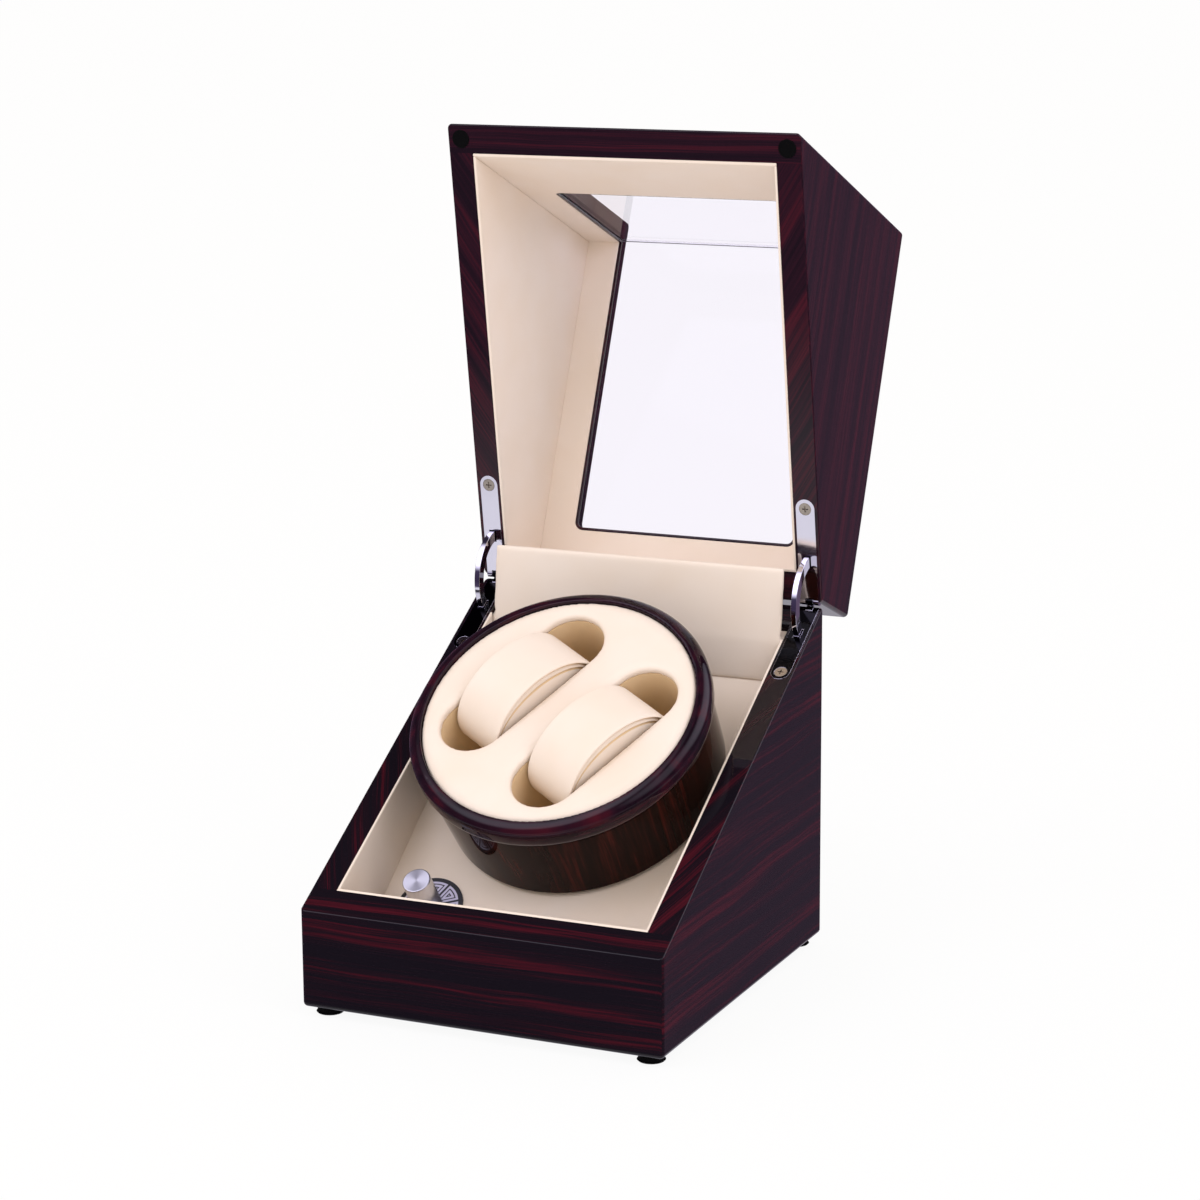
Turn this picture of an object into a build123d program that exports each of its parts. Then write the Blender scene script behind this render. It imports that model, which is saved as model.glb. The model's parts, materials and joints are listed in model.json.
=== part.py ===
from build123d import *
import math
import os

# A double watch winder: a wooden box split on a slope, shown with its lid open.
# Millimetres, +X to the right, +Y from the front to the back, +Z up, z = 0 under the feet.
# The case is modelled shut with its front face at y = 0. The lid is then turned open, and
# everything is moved so that the origin lies under the middle of the open box.

# Case: its width and depth follow from the drum
front_height = 41.0
rear_height = 145.0
closed_height = 181.0
wall = 11.0
edge_round = 2.0
rim_round = 0.7
rim_gap = 0.6
open_angle = 112.5

# Feet and bottom panel
foot_radius = 5.3
foot_height = 4.0
foot_inset = 8.5
foot_chamfer = 0.5
foot_screw_seat = 2.0
bottom_thickness = 3.0
bottom_rebate = 6.5
screw_radius = 1.4
screw_fit = 0.05
screw_head_radius = 2.7
screw_head_height = 1.6
screw_length = 11.0
screw_slot = 0.5
through = 1.0

# Linings and the tall rear panel
lining = 1.2
panel_fit = 0.2
rear_panel_thickness = 2.0
rear_panel_rise = 17.0
rear_panel_bend_drop = 14.0
rear_panel_lean = 2.0
rear_panel_gap = 1.7
rear_panel_room = 7.7
rear_panel_side_gap = 1.0
rear_panel_drop = 2.0
rear_panel_round = 0.8

# Sloped floor
floor_tilt = 37.0
floor_front_height = 6.1
floor_thickness = 5.0

# Lid windows
lid_top = 6.0
window_side_border = 27.5
window_rear_border = 28.5
window_drop = 82.0
window_corner = 4.0
pane_thickness = 2.5
pane_border = 4.0
pane_fit = 0.2
lining_reveal = 0.5

# Hinges
hinge_side_inset = 5.8
pivot_inset = 0.5
pivot_rise = 2.0
knuckle_radius = 1.75
knuckle_clearance = 0.5
hinge_pin_radius = 0.9
hinge_pin_fit = 0.05
plate_width = 8.4
plate_length = 45.5
plate_inset = 1.0
plate_thickness = 2.0
plate_screw_inset = 4.3
centre_knuckle = 3.2
knuckle_side_gap = 0.25
ear_reach = 3.2
ear_half_neck = 0.6
arm_inner = 16.0
arm_outer = 20.5
arm_thickness = 2.4
arm_clearance = 0.4
arm_base_embed = 18.0
arm_lid_embed = 16.0
arm_ratio = 0.25
arm_slot_spare = 3.0
plate_slot_half_turn = 30.0

# Lid bumpers
bumper_radius = 3.9
bumper_inset = 7.2
bumper_side_inset = 6.0
bumper_depth = 3.0
bumper_proud = 0.3
bumper_round = 0.24

# Drum: heights are above the sloped floor, along the drum's axis
drum_up_slope = 117.3
drum_gap = 1.0
drum_taper = 2.0
drum_wall = 2.5
drum_floor = 3.0
disc_fit = 0.2
disc_thickness = 3.5
disc_height = 48.0
ring_band = 7.4
ring_overhang = 2.1
ring_side_gap = 3.2
ring_height = 12.0
ring_proud = 0.7
ring_nose = 4.6
ring_inner_round = 0.6
collar_wall = 2.0
hub_radius = 7.0
hub_height = 11.0

# Slots, pockets and cushions
slot_angle = 60.0
slot_side_gap = 0.8
slot_bridge = 18.4
slot_margin = 6.5
strap_room = 12.5
slot_lip = 0.8
pocket_wall = 1.2
pocket_depth = 34.0
cushion_width = 28.0
cushion_length = 58.0
cushion_height = 44.0
cushion_end_radius = 17.0
cushion_seat = 0.3
cushion_crown = 0.9
cushion_draw_in = 2.2
cushion_shoulder = 10.0
cushion_shoulder_drop = 0.45
seam_inset = 4.0
seam_width = 1.6
seam_depth = 1.2

# Drive under the floor
spindle_radius = 3.0
shaft_fit = 0.05
shaft_end_gap = 0.5
spindle_drop = 37.0
bush_radius = 6.0
bush_flange_radius = 12.0
bush_flange = 3.0
bush_drop = 14.0
pulley_top = 25.0
pulley_thickness = 7.0
pulley_rim = 1.3
pulley_lip = 2.2
drum_pulley_groove = 22.0
motor_pulley_groove = 6.0
belt_thickness = 1.5
belt_fit = 0.3
clip_radius = 5.5
clip_thickness = 1.2
motor_distance = 42.0
motor_radius = 18.0
motor_length = 16.0
motor_round = 1.5
motor_shaft_radius = 2.0
motor_shaft_seat = 6.0
motor_shaft_tip = 2.0
motor_ear_length = 26.5
motor_ear_width = 10.0
motor_ear_thickness = 2.0
motor_screw_length = 5.5

# Speed switch, dial and knob
switch_side_inset = 22.3
switch_up_slope = 44.1
dial_radius = 14.6
dial_thickness = 0.8
knob_radius = 6.0
knob_top = 18.7
knob_lift = 0.5
knob_round = 0.5
knob_bore_depth = 12.0
switch_shaft_radius = 3.0
switch_bush_radius = 4.5
switch_side = 17.0
switch_depth = 11.0

# Power inlet and circuit board
jack_side_inset = 35.0
jack_height = 29.0
jack_radius = 5.5
jack_flange_radius = 7.5
jack_flange = 1.5
jack_inside = 9.0
jack_socket_radius = 2.8
jack_socket_depth = 9.0
jack_pin_radius = 1.0
jack_nut_radius = 8.0
jack_nut_thickness = 2.5
board_side_inset = 34.0
board_rear_inset = 43.0
board_width = 50.0
board_depth = 34.0
board_thickness = 1.6
board_post_height = 6.0
board_post_radius = 3.0
board_post_inset = 4.5
board_post_base = 1.0
chip_side = 9.0
chip_height = 2.0
capacitor_radius = 4.0
capacitor_height = 10.0
lead_radius = 1.1
lead_bend = 6.0
motor_lead_inset = 4.4
board_lead_inset = 4.4
board_lead_depth = 11.0

# Worked-out sizes: the cushions set the slots, the slots the disc, and the disc the box
tilt_cos = math.cos(math.radians(floor_tilt))
tilt_sin = math.sin(math.radians(floor_tilt))
slot_width = cushion_width + 2 * slot_side_gap
slot_length = cushion_length + 2 * strap_room
slot_offset = (slot_width + slot_bridge) / 2
slot_reach = math.hypot((slot_length - slot_width) / 2, slot_offset) + slot_width / 2
disc_radius = slot_reach + slot_margin
ring_outer = disc_radius + ring_band
drum_high_radius = ring_outer - ring_overhang
drum_low_radius = drum_high_radius - drum_taper
width = 2 * (ring_outer + ring_side_gap + lining + wall)
drum_rear = wall + lining + (drum_up_slope + drum_low_radius) * tilt_cos - drum_gap * tilt_sin
rear_panel_front = drum_rear + rear_panel_gap
depth = rear_panel_front + rear_panel_room + wall
slope = math.degrees(math.atan2(rear_height - front_height, depth))
case_low = foot_height
rear_panel_top = rear_height + rear_panel_rise
rear_panel_bend = rear_height - rear_panel_bend_drop
hole_radius = screw_radius + screw_fit
head_hole_radius = screw_head_radius + screw_fit
half_width = width / 2
inner_half = half_width - wall
inner_rear = depth - wall
lining_half = inner_half - lining
window_half_width = half_width - window_side_border
window_rear = depth - window_rear_border
window_low = closed_height - window_drop
hinge_centre = half_width - hinge_side_inset
switch_x = -(lining_half - switch_side_inset)
jack_x = half_width - jack_side_inset
board_x = inner_half - board_side_inset
board_y = inner_rear - board_rear_inset
pivot_y = depth - pivot_inset
pivot_z = case_low + rear_height + pivot_rise
rim_direction = 180.0 + slope
drum_low = drum_gap
ring_low = disc_height + ring_proud - ring_height
collar_top = disc_height - disc_thickness
belt_ratio = (drum_pulley_groove + belt_fit + belt_thickness / 2) / (
    motor_pulley_groove + belt_fit + belt_thickness / 2
)
floor_plane = Plane(
    origin=(0, wall + lining, case_low + floor_front_height),
    x_dir=(1, 0, 0),
    z_dir=(0, -tilt_sin, tilt_cos),
)
drum_frame = floor_plane * Pos(0, drum_up_slope, 0)
slot_frame = drum_frame * Rot(0, 0, slot_angle)
motor_frame = floor_plane * Pos(0, drum_up_slope - motor_distance, 0)
switch_frame = floor_plane * Pos(switch_x, switch_up_slope, 0)
rim_frame = Plane(
    origin=(0, depth, case_low + rear_height),
    x_dir=(1, 0, 0),
    z_dir=(0, -math.sin(math.radians(slope)), math.cos(math.radians(slope))),
)
pivot_above = pivot_inset * math.sin(math.radians(slope)) + pivot_rise * math.cos(math.radians(slope))
knuckle_low = knuckle_radius + knuckle_clearance


def rim_z(y, above=0.0):
    """Height of the sloped rim at a depth y, and above it square to the slope."""
    angle = math.radians(slope)
    return case_low + front_height + y * math.tan(angle) + above / math.cos(angle)


def floor_z(y, above=0.0):
    """Height of the sloped floor at a depth y, and above it square to the floor."""
    rise = (y - wall - lining) * tilt_sin / tilt_cos
    return case_low + floor_front_height + rise + above / tilt_cos


def slab(points, x_low, x_high):
    """A side outline, given as (y, z) points, thickened from x_low to x_high."""
    outline = make_face(Plane.YZ.offset(x_low) * Polyline(*points, close=True))
    return extrude(outline, amount=x_high - x_low, dir=(1, 0, 0))


def block(x_low, x_high, y_low, y_high, z_low, z_high):
    """A rectangular block between two corners."""
    shape = Box(x_high - x_low, y_high - y_low, z_high - z_low)
    return Pos((x_low + x_high) / 2, (y_low + y_high) / 2, (z_low + z_high) / 2) * shape


def rod(radius, low, high):
    """An upright cylinder between two heights on its own axis."""
    return Pos(0, 0, (low + high) / 2) * Cylinder(radius, high - low)


def turned(points):
    """A profile of (radius, height) points turned about its own upright axis."""
    return revolve(make_face(Plane.XZ * Polyline(*points, close=True)), axis=Axis.Z)


def opened(shape):
    """The lid's pieces are drawn shut and then turned back about the hinge line."""
    return shape.rotate(Axis((0, pivot_y, pivot_z), (1, 0, 0)), -open_angle)


def hinge_arc(inner, outer, thickness, start, end, side):
    """A flat ring sector about the hinge line; angles grow from the rim into the base."""
    span = end - start
    first = Location((0, 0, 0), (0, 0, rim_direction + start))
    last = Location((0, 0, 0), (0, 0, rim_direction + end))
    half = Location((0, 0, 0), (0, 0, rim_direction + start + span / 2))
    corner = {}
    for name, place in (("first", first), ("half", half), ("last", last)):
        for edge, radius in (("in", inner), ("out", outer)):
            corner[name, edge] = (place * Pos(radius, 0, 0)).position
    outline = make_face(
        [
            ThreePointArc(corner["first", "out"], corner["half", "out"], corner["last", "out"]),
            Line(corner["last", "out"], corner["last", "in"]),
            ThreePointArc(corner["last", "in"], corner["half", "in"], corner["first", "in"]),
            Line(corner["first", "in"], corner["first", "out"]),
        ]
    )
    face = Plane.YZ.offset(side * hinge_centre - thickness / 2) * Pos(pivot_y, pivot_z, 0) * outline
    return extrude(face, amount=thickness, dir=(1, 0, 0))


def wood_screw(length):
    """A pan-head cross screw pointing down, its head's underside at height 0."""
    shape = rod(screw_radius, -length, 0) + rod(screw_head_radius, 0, screw_head_height)
    for angle in (0, 90):
        cross = Box(screw_head_radius, screw_slot, screw_head_height)
        shape -= Rot(0, 0, angle) * Pos(0, 0, screw_head_height) * cross
    return shape


def foot_places():
    """The four foot centres."""
    for x in (-half_width + foot_inset, half_width - foot_inset):
        for y in (foot_inset, depth - foot_inset):
            yield x, y


def bottom_screw_places():
    """Screws in the panel's rebate, between the feet."""
    x = inner_half + bottom_rebate / 2
    for side in (-1, 1):
        for y in (depth / 3, depth * 2 / 3):
            yield side * x, y


def plate_screw_frame(side):
    """Where a hinge plate's screw stands on the rim slope."""
    return rim_frame * Pos(side * hinge_centre, -plate_length + plate_screw_inset, 0)


def plate_outline(side):
    """A bar in the rim's plane, square at the hinge line and round at its front end."""
    radius = plate_width / 2
    length = plate_length - radius - plate_inset
    bar = Pos(0, -plate_inset - length / 2) * Rectangle(plate_width, length)
    nose = Pos(0, -(plate_length - radius)) * Circle(radius)
    return rim_frame * Pos(side * hinge_centre, 0, 0) * (bar + nose)


def ear(side, x_low, x_high, behind, ahead, low, high):
    """A block that joins a plate to the barrel, in the rim's own directions."""
    shape = Box(x_high - x_low, ahead - behind, high - low)
    middle = Pos((x_low + x_high) / 2, (behind + ahead) / 2, (low + high) / 2)
    return rim_frame * Pos(side * hinge_centre, 0, 0) * middle * shape


def knuckle(side, x_low, x_high, radius):
    """A length of the hinge barrel, between two distances from the hinge's middle."""
    middle = side * hinge_centre + (x_low + x_high) / 2
    shape = Rot(0, 90, 0) * Cylinder(radius, x_high - x_low)
    return Pos(middle, pivot_y, pivot_z) * shape


def rounded(body, rim_place):
    """Rounds a case half: its sloped rim a little, and every other edge more."""
    across = Axis((0, 0, 0), rim_frame.z_dir)
    rim_edges = body.faces().sort_by(across)[rim_place].edges()
    others = [edge for edge in body.edges() if all(not edge.is_same(other) for other in rim_edges)]
    body = fillet(others, edge_round)
    return fillet(body.faces().sort_by(across)[rim_place].edges(), rim_round)


def base_case():
    body = slab(
        [
            (0, case_low),
            (depth, case_low),
            (depth, case_low + rear_height),
            (0, case_low + front_height),
        ],
        -half_width,
        half_width,
    )
    body = rounded(body, -1)
    body -= block(-inner_half, inner_half, wall, inner_rear, 0, case_low + closed_height)
    rebate = wall - bottom_rebate
    body -= block(
        -half_width + rebate,
        half_width - rebate,
        rebate,
        depth - rebate,
        0,
        case_low + bottom_thickness,
    )
    for side in (-1, 1):
        body -= extrude(plate_outline(side), amount=-plate_thickness)
        body -= knuckle(side, -plate_width / 2, plate_width / 2, knuckle_low)
        body -= hinge_arc(
            arm_inner - arm_clearance,
            arm_outer + arm_clearance,
            arm_thickness + 2 * arm_clearance,
            0,
            arm_base_embed + arm_ratio * open_angle + arm_slot_spare,
            side,
        )
        body -= plate_screw_frame(side) * rod(hole_radius, -screw_length, 0)
    for x, y in foot_places():
        body -= Pos(x, y, 0) * rod(hole_radius, case_low - through, foot_screw_seat + screw_length)
    for x, y in bottom_screw_places():
        body -= Pos(x, y, case_low) * rod(hole_radius, 0, screw_length)
    body -= jack_place() * (Rot(90, 0, 0) * rod(jack_radius, -through, wall + through))
    return body


def bottom_panel():
    rebate = wall - bottom_rebate + panel_fit
    panel = block(
        -half_width + rebate,
        half_width - rebate,
        rebate,
        depth - rebate,
        case_low,
        case_low + bottom_thickness,
    )
    for x, y in bottom_screw_places():
        panel -= Pos(x, y, case_low) * rod(hole_radius, 0, bottom_thickness)
        panel -= Pos(x, y, case_low) * rod(head_hole_radius, 0, screw_head_height)
    for x, y in foot_places():
        panel -= Pos(x, y, case_low) * rod(hole_radius, 0, bottom_thickness)
    return panel


def feet():
    shapes = []
    for x, y in foot_places():
        foot = chamfer(rod(foot_radius, 0, foot_height).edges().sort_by(Axis.Z)[:1], foot_chamfer)
        foot -= rod(hole_radius, 0, foot_height)
        foot -= rod(head_hole_radius, -through, foot_screw_seat)
        shapes.append(Pos(x, y, 0) * foot)
    return Compound(shapes)


def foot_screws():
    shapes = []
    for x, y in foot_places():
        shapes.append(Pos(x, y, foot_screw_seat) * Rot(180, 0, 0) * wood_screw(screw_length))
    return Compound(shapes)


def bottom_screws():
    shapes = []
    for x, y in bottom_screw_places():
        place = Pos(x, y, case_low + screw_head_height) * Rot(180, 0, 0)
        shapes.append(place * wood_screw(screw_length - screw_head_height))
    return Compound(shapes)


def floor_panel():
    length = (inner_rear - wall) / tilt_cos
    board = Box(2 * (inner_half - panel_fit), 2 * length, floor_thickness)
    panel = floor_plane * Pos(0, length / 2, -floor_thickness / 2) * board
    room = block(
        -half_width,
        half_width,
        wall + panel_fit,
        inner_rear - panel_fit,
        case_low + bottom_thickness + panel_fit,
        case_low + closed_height,
    )
    panel &= room
    panel -= drum_frame * rod(bush_radius, -floor_thickness - through, through)
    panel -= switch_frame * rod(switch_bush_radius, -floor_thickness - through, through)
    for place in motor_screw_places():
        reach = motor_screw_length - motor_ear_thickness
        panel -= place * rod(hole_radius, -floor_thickness - through, -floor_thickness + reach)
    return panel


def base_side_lining(side):
    low = inner_half - lining
    points = [
        (wall + lining, floor_z(wall + lining)),
        (rear_panel_front, floor_z(rear_panel_front)),
        (rear_panel_front, rim_z(rear_panel_front)),
        (wall + lining, rim_z(wall + lining)),
    ]
    if side < 0:
        return slab(points, -inner_half, -low)
    return slab(points, low, inner_half)


def base_front_lining():
    points = [
        (wall, floor_z(wall)),
        (wall + lining, floor_z(wall + lining)),
        (wall + lining, rim_z(wall + lining)),
        (wall, rim_z(wall)),
    ]
    return slab(points, -inner_half, inner_half)


def rear_panel():
    """The padded board behind the drum, which stands up past the rim between the hinges."""
    front = rear_panel_front
    top_front = front + rear_panel_lean
    bend = case_low + rear_panel_bend
    top = case_low + rear_panel_top
    lower = slab(
        [
            (front, floor_z(front)),
            (inner_rear, floor_z(inner_rear)),
            (inner_rear, rim_z(inner_rear) - rear_panel_drop),
            (front, rim_z(front) - rear_panel_drop),
        ],
        -inner_half,
        inner_half,
    )
    upper = slab(
        [
            (front, floor_z(front)),
            (front, bend),
            (top_front, top),
            (top_front + rear_panel_thickness, top),
            (front + rear_panel_thickness, bend),
            (front + rear_panel_thickness, floor_z(front + rear_panel_thickness)),
        ],
        -lining_half + rear_panel_side_gap,
        lining_half - rear_panel_side_gap,
    )
    top_edges = upper.edges().filter_by(Axis.X).sort_by(Axis.Z)[-2:]
    upper = fillet(top_edges, rear_panel_round)
    return lower + upper


def lid_case():
    body = slab(
        [
            (0, rim_z(0, rim_gap)),
            (depth, rim_z(depth, rim_gap)),
            (depth, case_low + closed_height),
            (0, case_low + closed_height),
        ],
        -half_width,
        half_width,
    )
    body = rounded(body, 0)
    inner_top = case_low + closed_height - lid_top
    body -= block(-inner_half, inner_half, wall, inner_rear, 0, inner_top)
    body -= window_cut()
    body -= top_pane_space(pane_fit)
    body -= front_pane_space(pane_fit)
    for side in (-1, 1):
        recess = extrude(plate_outline(side), amount=plate_thickness + rim_gap)
        body -= recess
        body -= knuckle(side, -plate_width / 2, plate_width / 2, knuckle_low)
        body -= hinge_arc(
            arm_inner - arm_clearance,
            arm_outer + arm_clearance,
            arm_thickness + 2 * arm_clearance,
            -arm_lid_embed - (1 - arm_ratio) * open_angle - arm_slot_spare,
            arm_slot_spare,
            side,
        )
        body -= plate_screw_frame(side) * rod(hole_radius, 0, rim_gap + screw_length)
        body -= bumper_frame(side) * rod(bumper_radius, -rim_gap, bumper_depth)
    return opened(body)


def window_cut():
    """The wrap-round opening in the lid's top and front, with rounded far corners."""
    top = case_low + closed_height
    inner_top = top - lid_top
    above = block(
        -window_half_width,
        window_half_width,
        -through,
        window_rear,
        inner_top - through,
        top + through,
    )
    above = fillet(above.edges().filter_by(Axis.Z).sort_by(Axis.Y)[-2:], window_corner)
    ahead = block(
        -window_half_width,
        window_half_width,
        -through,
        wall + through,
        case_low + window_low,
        top + through,
    )
    ahead = fillet(ahead.edges().filter_by(Axis.Y).sort_by(Axis.Z)[:2], window_corner)
    return above + ahead


def top_pane_space(extra=0.0):
    """The rebate that holds the top pane, or the pane itself when nothing is added."""
    low = case_low + closed_height - lid_top
    half = window_half_width + pane_border
    return block(
        -half - extra,
        half + extra,
        wall - pane_thickness - extra,
        window_rear + pane_border + extra,
        low,
        low + pane_thickness,
    )


def front_pane_space(extra=0.0):
    """The rebate that holds the front pane, up to the underside of the top pane."""
    half = window_half_width + pane_border
    return block(
        -half - extra,
        half + extra,
        wall - pane_thickness,
        wall,
        case_low + window_low - pane_border - extra,
        case_low + closed_height - lid_top,
    )


def top_pane():
    return opened(top_pane_space())


def front_pane():
    return opened(front_pane_space())


def lid_side_lining(side):
    low = inner_half - lining
    top = case_low + closed_height - lid_top - lining
    points = [
        (wall + lining, rim_z(wall + lining, rim_gap)),
        (inner_rear - lining, rim_z(inner_rear - lining, rim_gap)),
        (inner_rear - lining, top),
        (wall + lining, top),
    ]
    if side < 0:
        return opened(slab(points, -inner_half, -low))
    return opened(slab(points, low, inner_half))


def lid_top_lining():
    top = case_low + closed_height - lid_top
    board = block(-inner_half, inner_half, wall, inner_rear, top - lining, top)
    half = window_half_width + lining_reveal
    rear = window_rear + lining_reveal
    hole = block(-half, half, wall - through, rear, top - lining - through, top + through)
    hole = fillet(hole.edges().filter_by(Axis.Z).sort_by(Axis.Y)[-2:], window_corner)
    return opened(board - hole)


def lid_front_lining():
    top = case_low + closed_height - lid_top - lining
    points = [
        (wall, rim_z(wall, rim_gap)),
        (wall + lining, rim_z(wall + lining, rim_gap)),
        (wall + lining, top),
        (wall, top),
    ]
    board = slab(points, -inner_half, inner_half)
    half = window_half_width + lining_reveal
    low = case_low + window_low - lining_reveal
    hole = block(-half, half, wall - through, wall + lining + through, low, top + through)
    hole = fillet(hole.edges().filter_by(Axis.Y).sort_by(Axis.Z)[:2], window_corner)
    return opened(board - hole)


def lid_rear_lining():
    top = case_low + closed_height - lid_top - lining
    points = [
        (inner_rear - lining, rim_z(inner_rear - lining, rim_gap)),
        (inner_rear, rim_z(inner_rear, rim_gap)),
        (inner_rear, top),
        (inner_rear - lining, top),
    ]
    return opened(slab(points, -inner_half, inner_half))


def bumper_frame(side):
    """Where a bumper stands on the lid's rim, near a front corner."""
    rim_length = depth / math.cos(math.radians(slope))
    return rim_frame * Pos(side * (half_width - bumper_side_inset), -rim_length + bumper_inset, rim_gap)


def lid_bumpers():
    shapes = []
    for side in (-1, 1):
        pad = rod(bumper_radius, -bumper_proud, bumper_depth)
        pad = fillet(pad.edges().sort_by(Axis.Z)[:1], bumper_round)
        shapes.append(opened(bumper_frame(side) * pad))
    return Compound(shapes)


def arm_slot(side):
    """The slot through both hinge plates that the arm slides in."""
    return hinge_arc(
        arm_inner - arm_clearance,
        arm_outer + arm_clearance,
        arm_thickness + 2 * arm_clearance,
        -plate_slot_half_turn,
        plate_slot_half_turn,
        side,
    )


def hinge_base_plate(side):
    plate = extrude(plate_outline(side), amount=-plate_thickness)
    half = centre_knuckle / 2
    plate += ear(side, -half, half, -ear_reach, ear_half_neck, 0, rim_gap / 2)
    plate += ear(side, -half, half, -ear_half_neck, ear_half_neck, 0, pivot_above)
    plate += knuckle(side, -half, half, knuckle_radius)
    plate -= arm_slot(side)
    plate -= plate_screw_frame(side) * rod(hole_radius, -plate_thickness - through, through)
    plate -= plate_screw_frame(side) * rod(head_hole_radius, -screw_head_height, through)
    plate -= knuckle(side, -plate_width, plate_width, hinge_pin_radius)
    return plate


def hinge_lid_plate(side):
    plate = extrude(plate_outline(side), amount=plate_thickness + rim_gap)
    plate -= extrude(plate_outline(side), amount=rim_gap)
    outer = plate_width / 2
    inner = centre_knuckle / 2 + knuckle_side_gap
    for low, high in ((-outer, -inner), (inner, outer)):
        plate += ear(side, low, high, -ear_reach, ear_half_neck, rim_gap, rim_gap + plate_thickness)
        plate += knuckle(side, low, high, knuckle_radius)
    plate -= knuckle(side, -inner, inner, knuckle_low)
    plate -= arm_slot(side)
    place = plate_screw_frame(side) * Pos(0, 0, rim_gap) * Rot(180, 0, 0)
    plate -= place * rod(hole_radius, -plate_thickness - through, through)
    plate -= place * rod(head_hole_radius, -screw_head_height, through)
    plate -= knuckle(side, -plate_width, plate_width, hinge_pin_radius + hinge_pin_fit)
    return opened(plate)


def hinge_pin(side):
    return knuckle(side, -plate_width / 2, plate_width / 2, hinge_pin_radius)


def quadrant_arm(side):
    return hinge_arc(
        arm_inner,
        arm_outer,
        arm_thickness,
        -open_angle - arm_lid_embed,
        arm_base_embed,
        side,
    )


def base_hinge_screws():
    shapes = []
    for side in (-1, 1):
        place = plate_screw_frame(side) * Pos(0, 0, -screw_head_height)
        shapes.append(place * wood_screw(screw_length - screw_head_height))
    return Compound(shapes)


def lid_hinge_screws():
    shapes = []
    for side in (-1, 1):
        place = plate_screw_frame(side) * Pos(0, 0, rim_gap + screw_head_height) * Rot(180, 0, 0)
        shapes.append(opened(place * wood_screw(screw_length - screw_head_height)))
    return Compound(shapes)


def drum_shell():
    """The lacquered cup that turns, with a collar that carries the ring and the disc."""
    inner = disc_radius + disc_fit - collar_wall
    collar = disc_radius + disc_fit
    cup = turned(
        [
            (0, drum_low),
            (drum_low_radius - edge_round, drum_low),
            (drum_low_radius, drum_low + edge_round),
            (drum_high_radius, ring_low),
            (collar, ring_low),
            (collar, collar_top),
            (inner, collar_top),
            (inner, ring_low - drum_wall),
            (drum_low_radius - drum_wall, ring_low - 2 * drum_wall),
            (drum_low_radius - drum_wall, drum_low + drum_floor),
            (hub_radius, drum_low + drum_floor),
            (hub_radius, drum_low + hub_height),
            (0, drum_low + hub_height),
        ]
    )
    cup -= rod(spindle_radius, 0, disc_height)
    return drum_frame * cup


def drum_ring():
    collar = disc_radius + disc_fit
    profile = make_face(
        Plane.XZ
        * Polyline(
            (collar, ring_low),
            (ring_outer, ring_low),
            (ring_outer, ring_low + ring_height),
            (collar, ring_low + ring_height),
            close=True,
        )
    )
    ring = revolve(profile, axis=Axis.Z)
    between = (collar + ring_outer) / 2
    middle = ring_low + ring_height / 2
    circles = ring.edges().filter_by(GeomType.CIRCLE)
    ring = fillet([edge for edge in circles if edge.radius > between], ring_nose)
    circles = ring.edges().filter_by(GeomType.CIRCLE)
    upper = [edge for edge in circles if edge.center().Z > middle and edge.radius > ring_nose]
    inner = min(upper, key=lambda edge: edge.radius)
    return drum_frame * fillet([inner], ring_inner_round)


def slot_shape(extra=0.0):
    """One slot's outline, long way along X, wider all round by an extra."""
    return SlotOverall(slot_length + 2 * extra, slot_width + 2 * extra)


def insert_disc():
    disc = rod(disc_radius, collar_top, disc_height)
    for side in (-1, 1):
        slot = extrude(slot_shape(), amount=disc_height)
        disc -= Rot(0, 0, slot_angle) * Pos(0, side * slot_offset, 0) * slot
    top = disc.faces().sort_by(Axis.Z)[-1]
    return drum_frame * fillet(top.edges(), slot_lip)


def pocket(side):
    """The lined well under a slot, which holds one cushion."""
    floor_top = disc_height - pocket_depth
    low = floor_top - pocket_wall
    outside = Pos(0, 0, low) * extrude(slot_shape(pocket_wall), amount=collar_top - low)
    inside = Pos(0, 0, floor_top) * extrude(slot_shape(), amount=pocket_depth)
    return slot_frame * Pos(0, side * slot_offset, 0) * (outside - inside)


def oval(half_length, half_height, end_radius):
    """An oval in the XZ plane: two end arcs and two long arcs that meet smoothly."""
    reach = half_length - end_radius
    long_radius = (reach**2 + half_height**2 - end_radius**2) / (2 * (half_height - end_radius))
    drop = long_radius - half_height
    spread = math.hypot(reach, drop)
    touch_x = reach + end_radius * reach / spread
    touch_z = end_radius * drop / spread
    right = ThreePointArc((touch_x, 0, -touch_z), (half_length, 0, 0), (touch_x, 0, touch_z))
    top = ThreePointArc((touch_x, 0, touch_z), (0, 0, half_height), (-touch_x, 0, touch_z))
    left = ThreePointArc((-touch_x, 0, touch_z), (-half_length, 0, 0), (-touch_x, 0, -touch_z))
    under = ThreePointArc((-touch_x, 0, -touch_z), (0, 0, -half_height), (touch_x, 0, -touch_z))
    return Wire([right, top, left, under])


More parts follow.
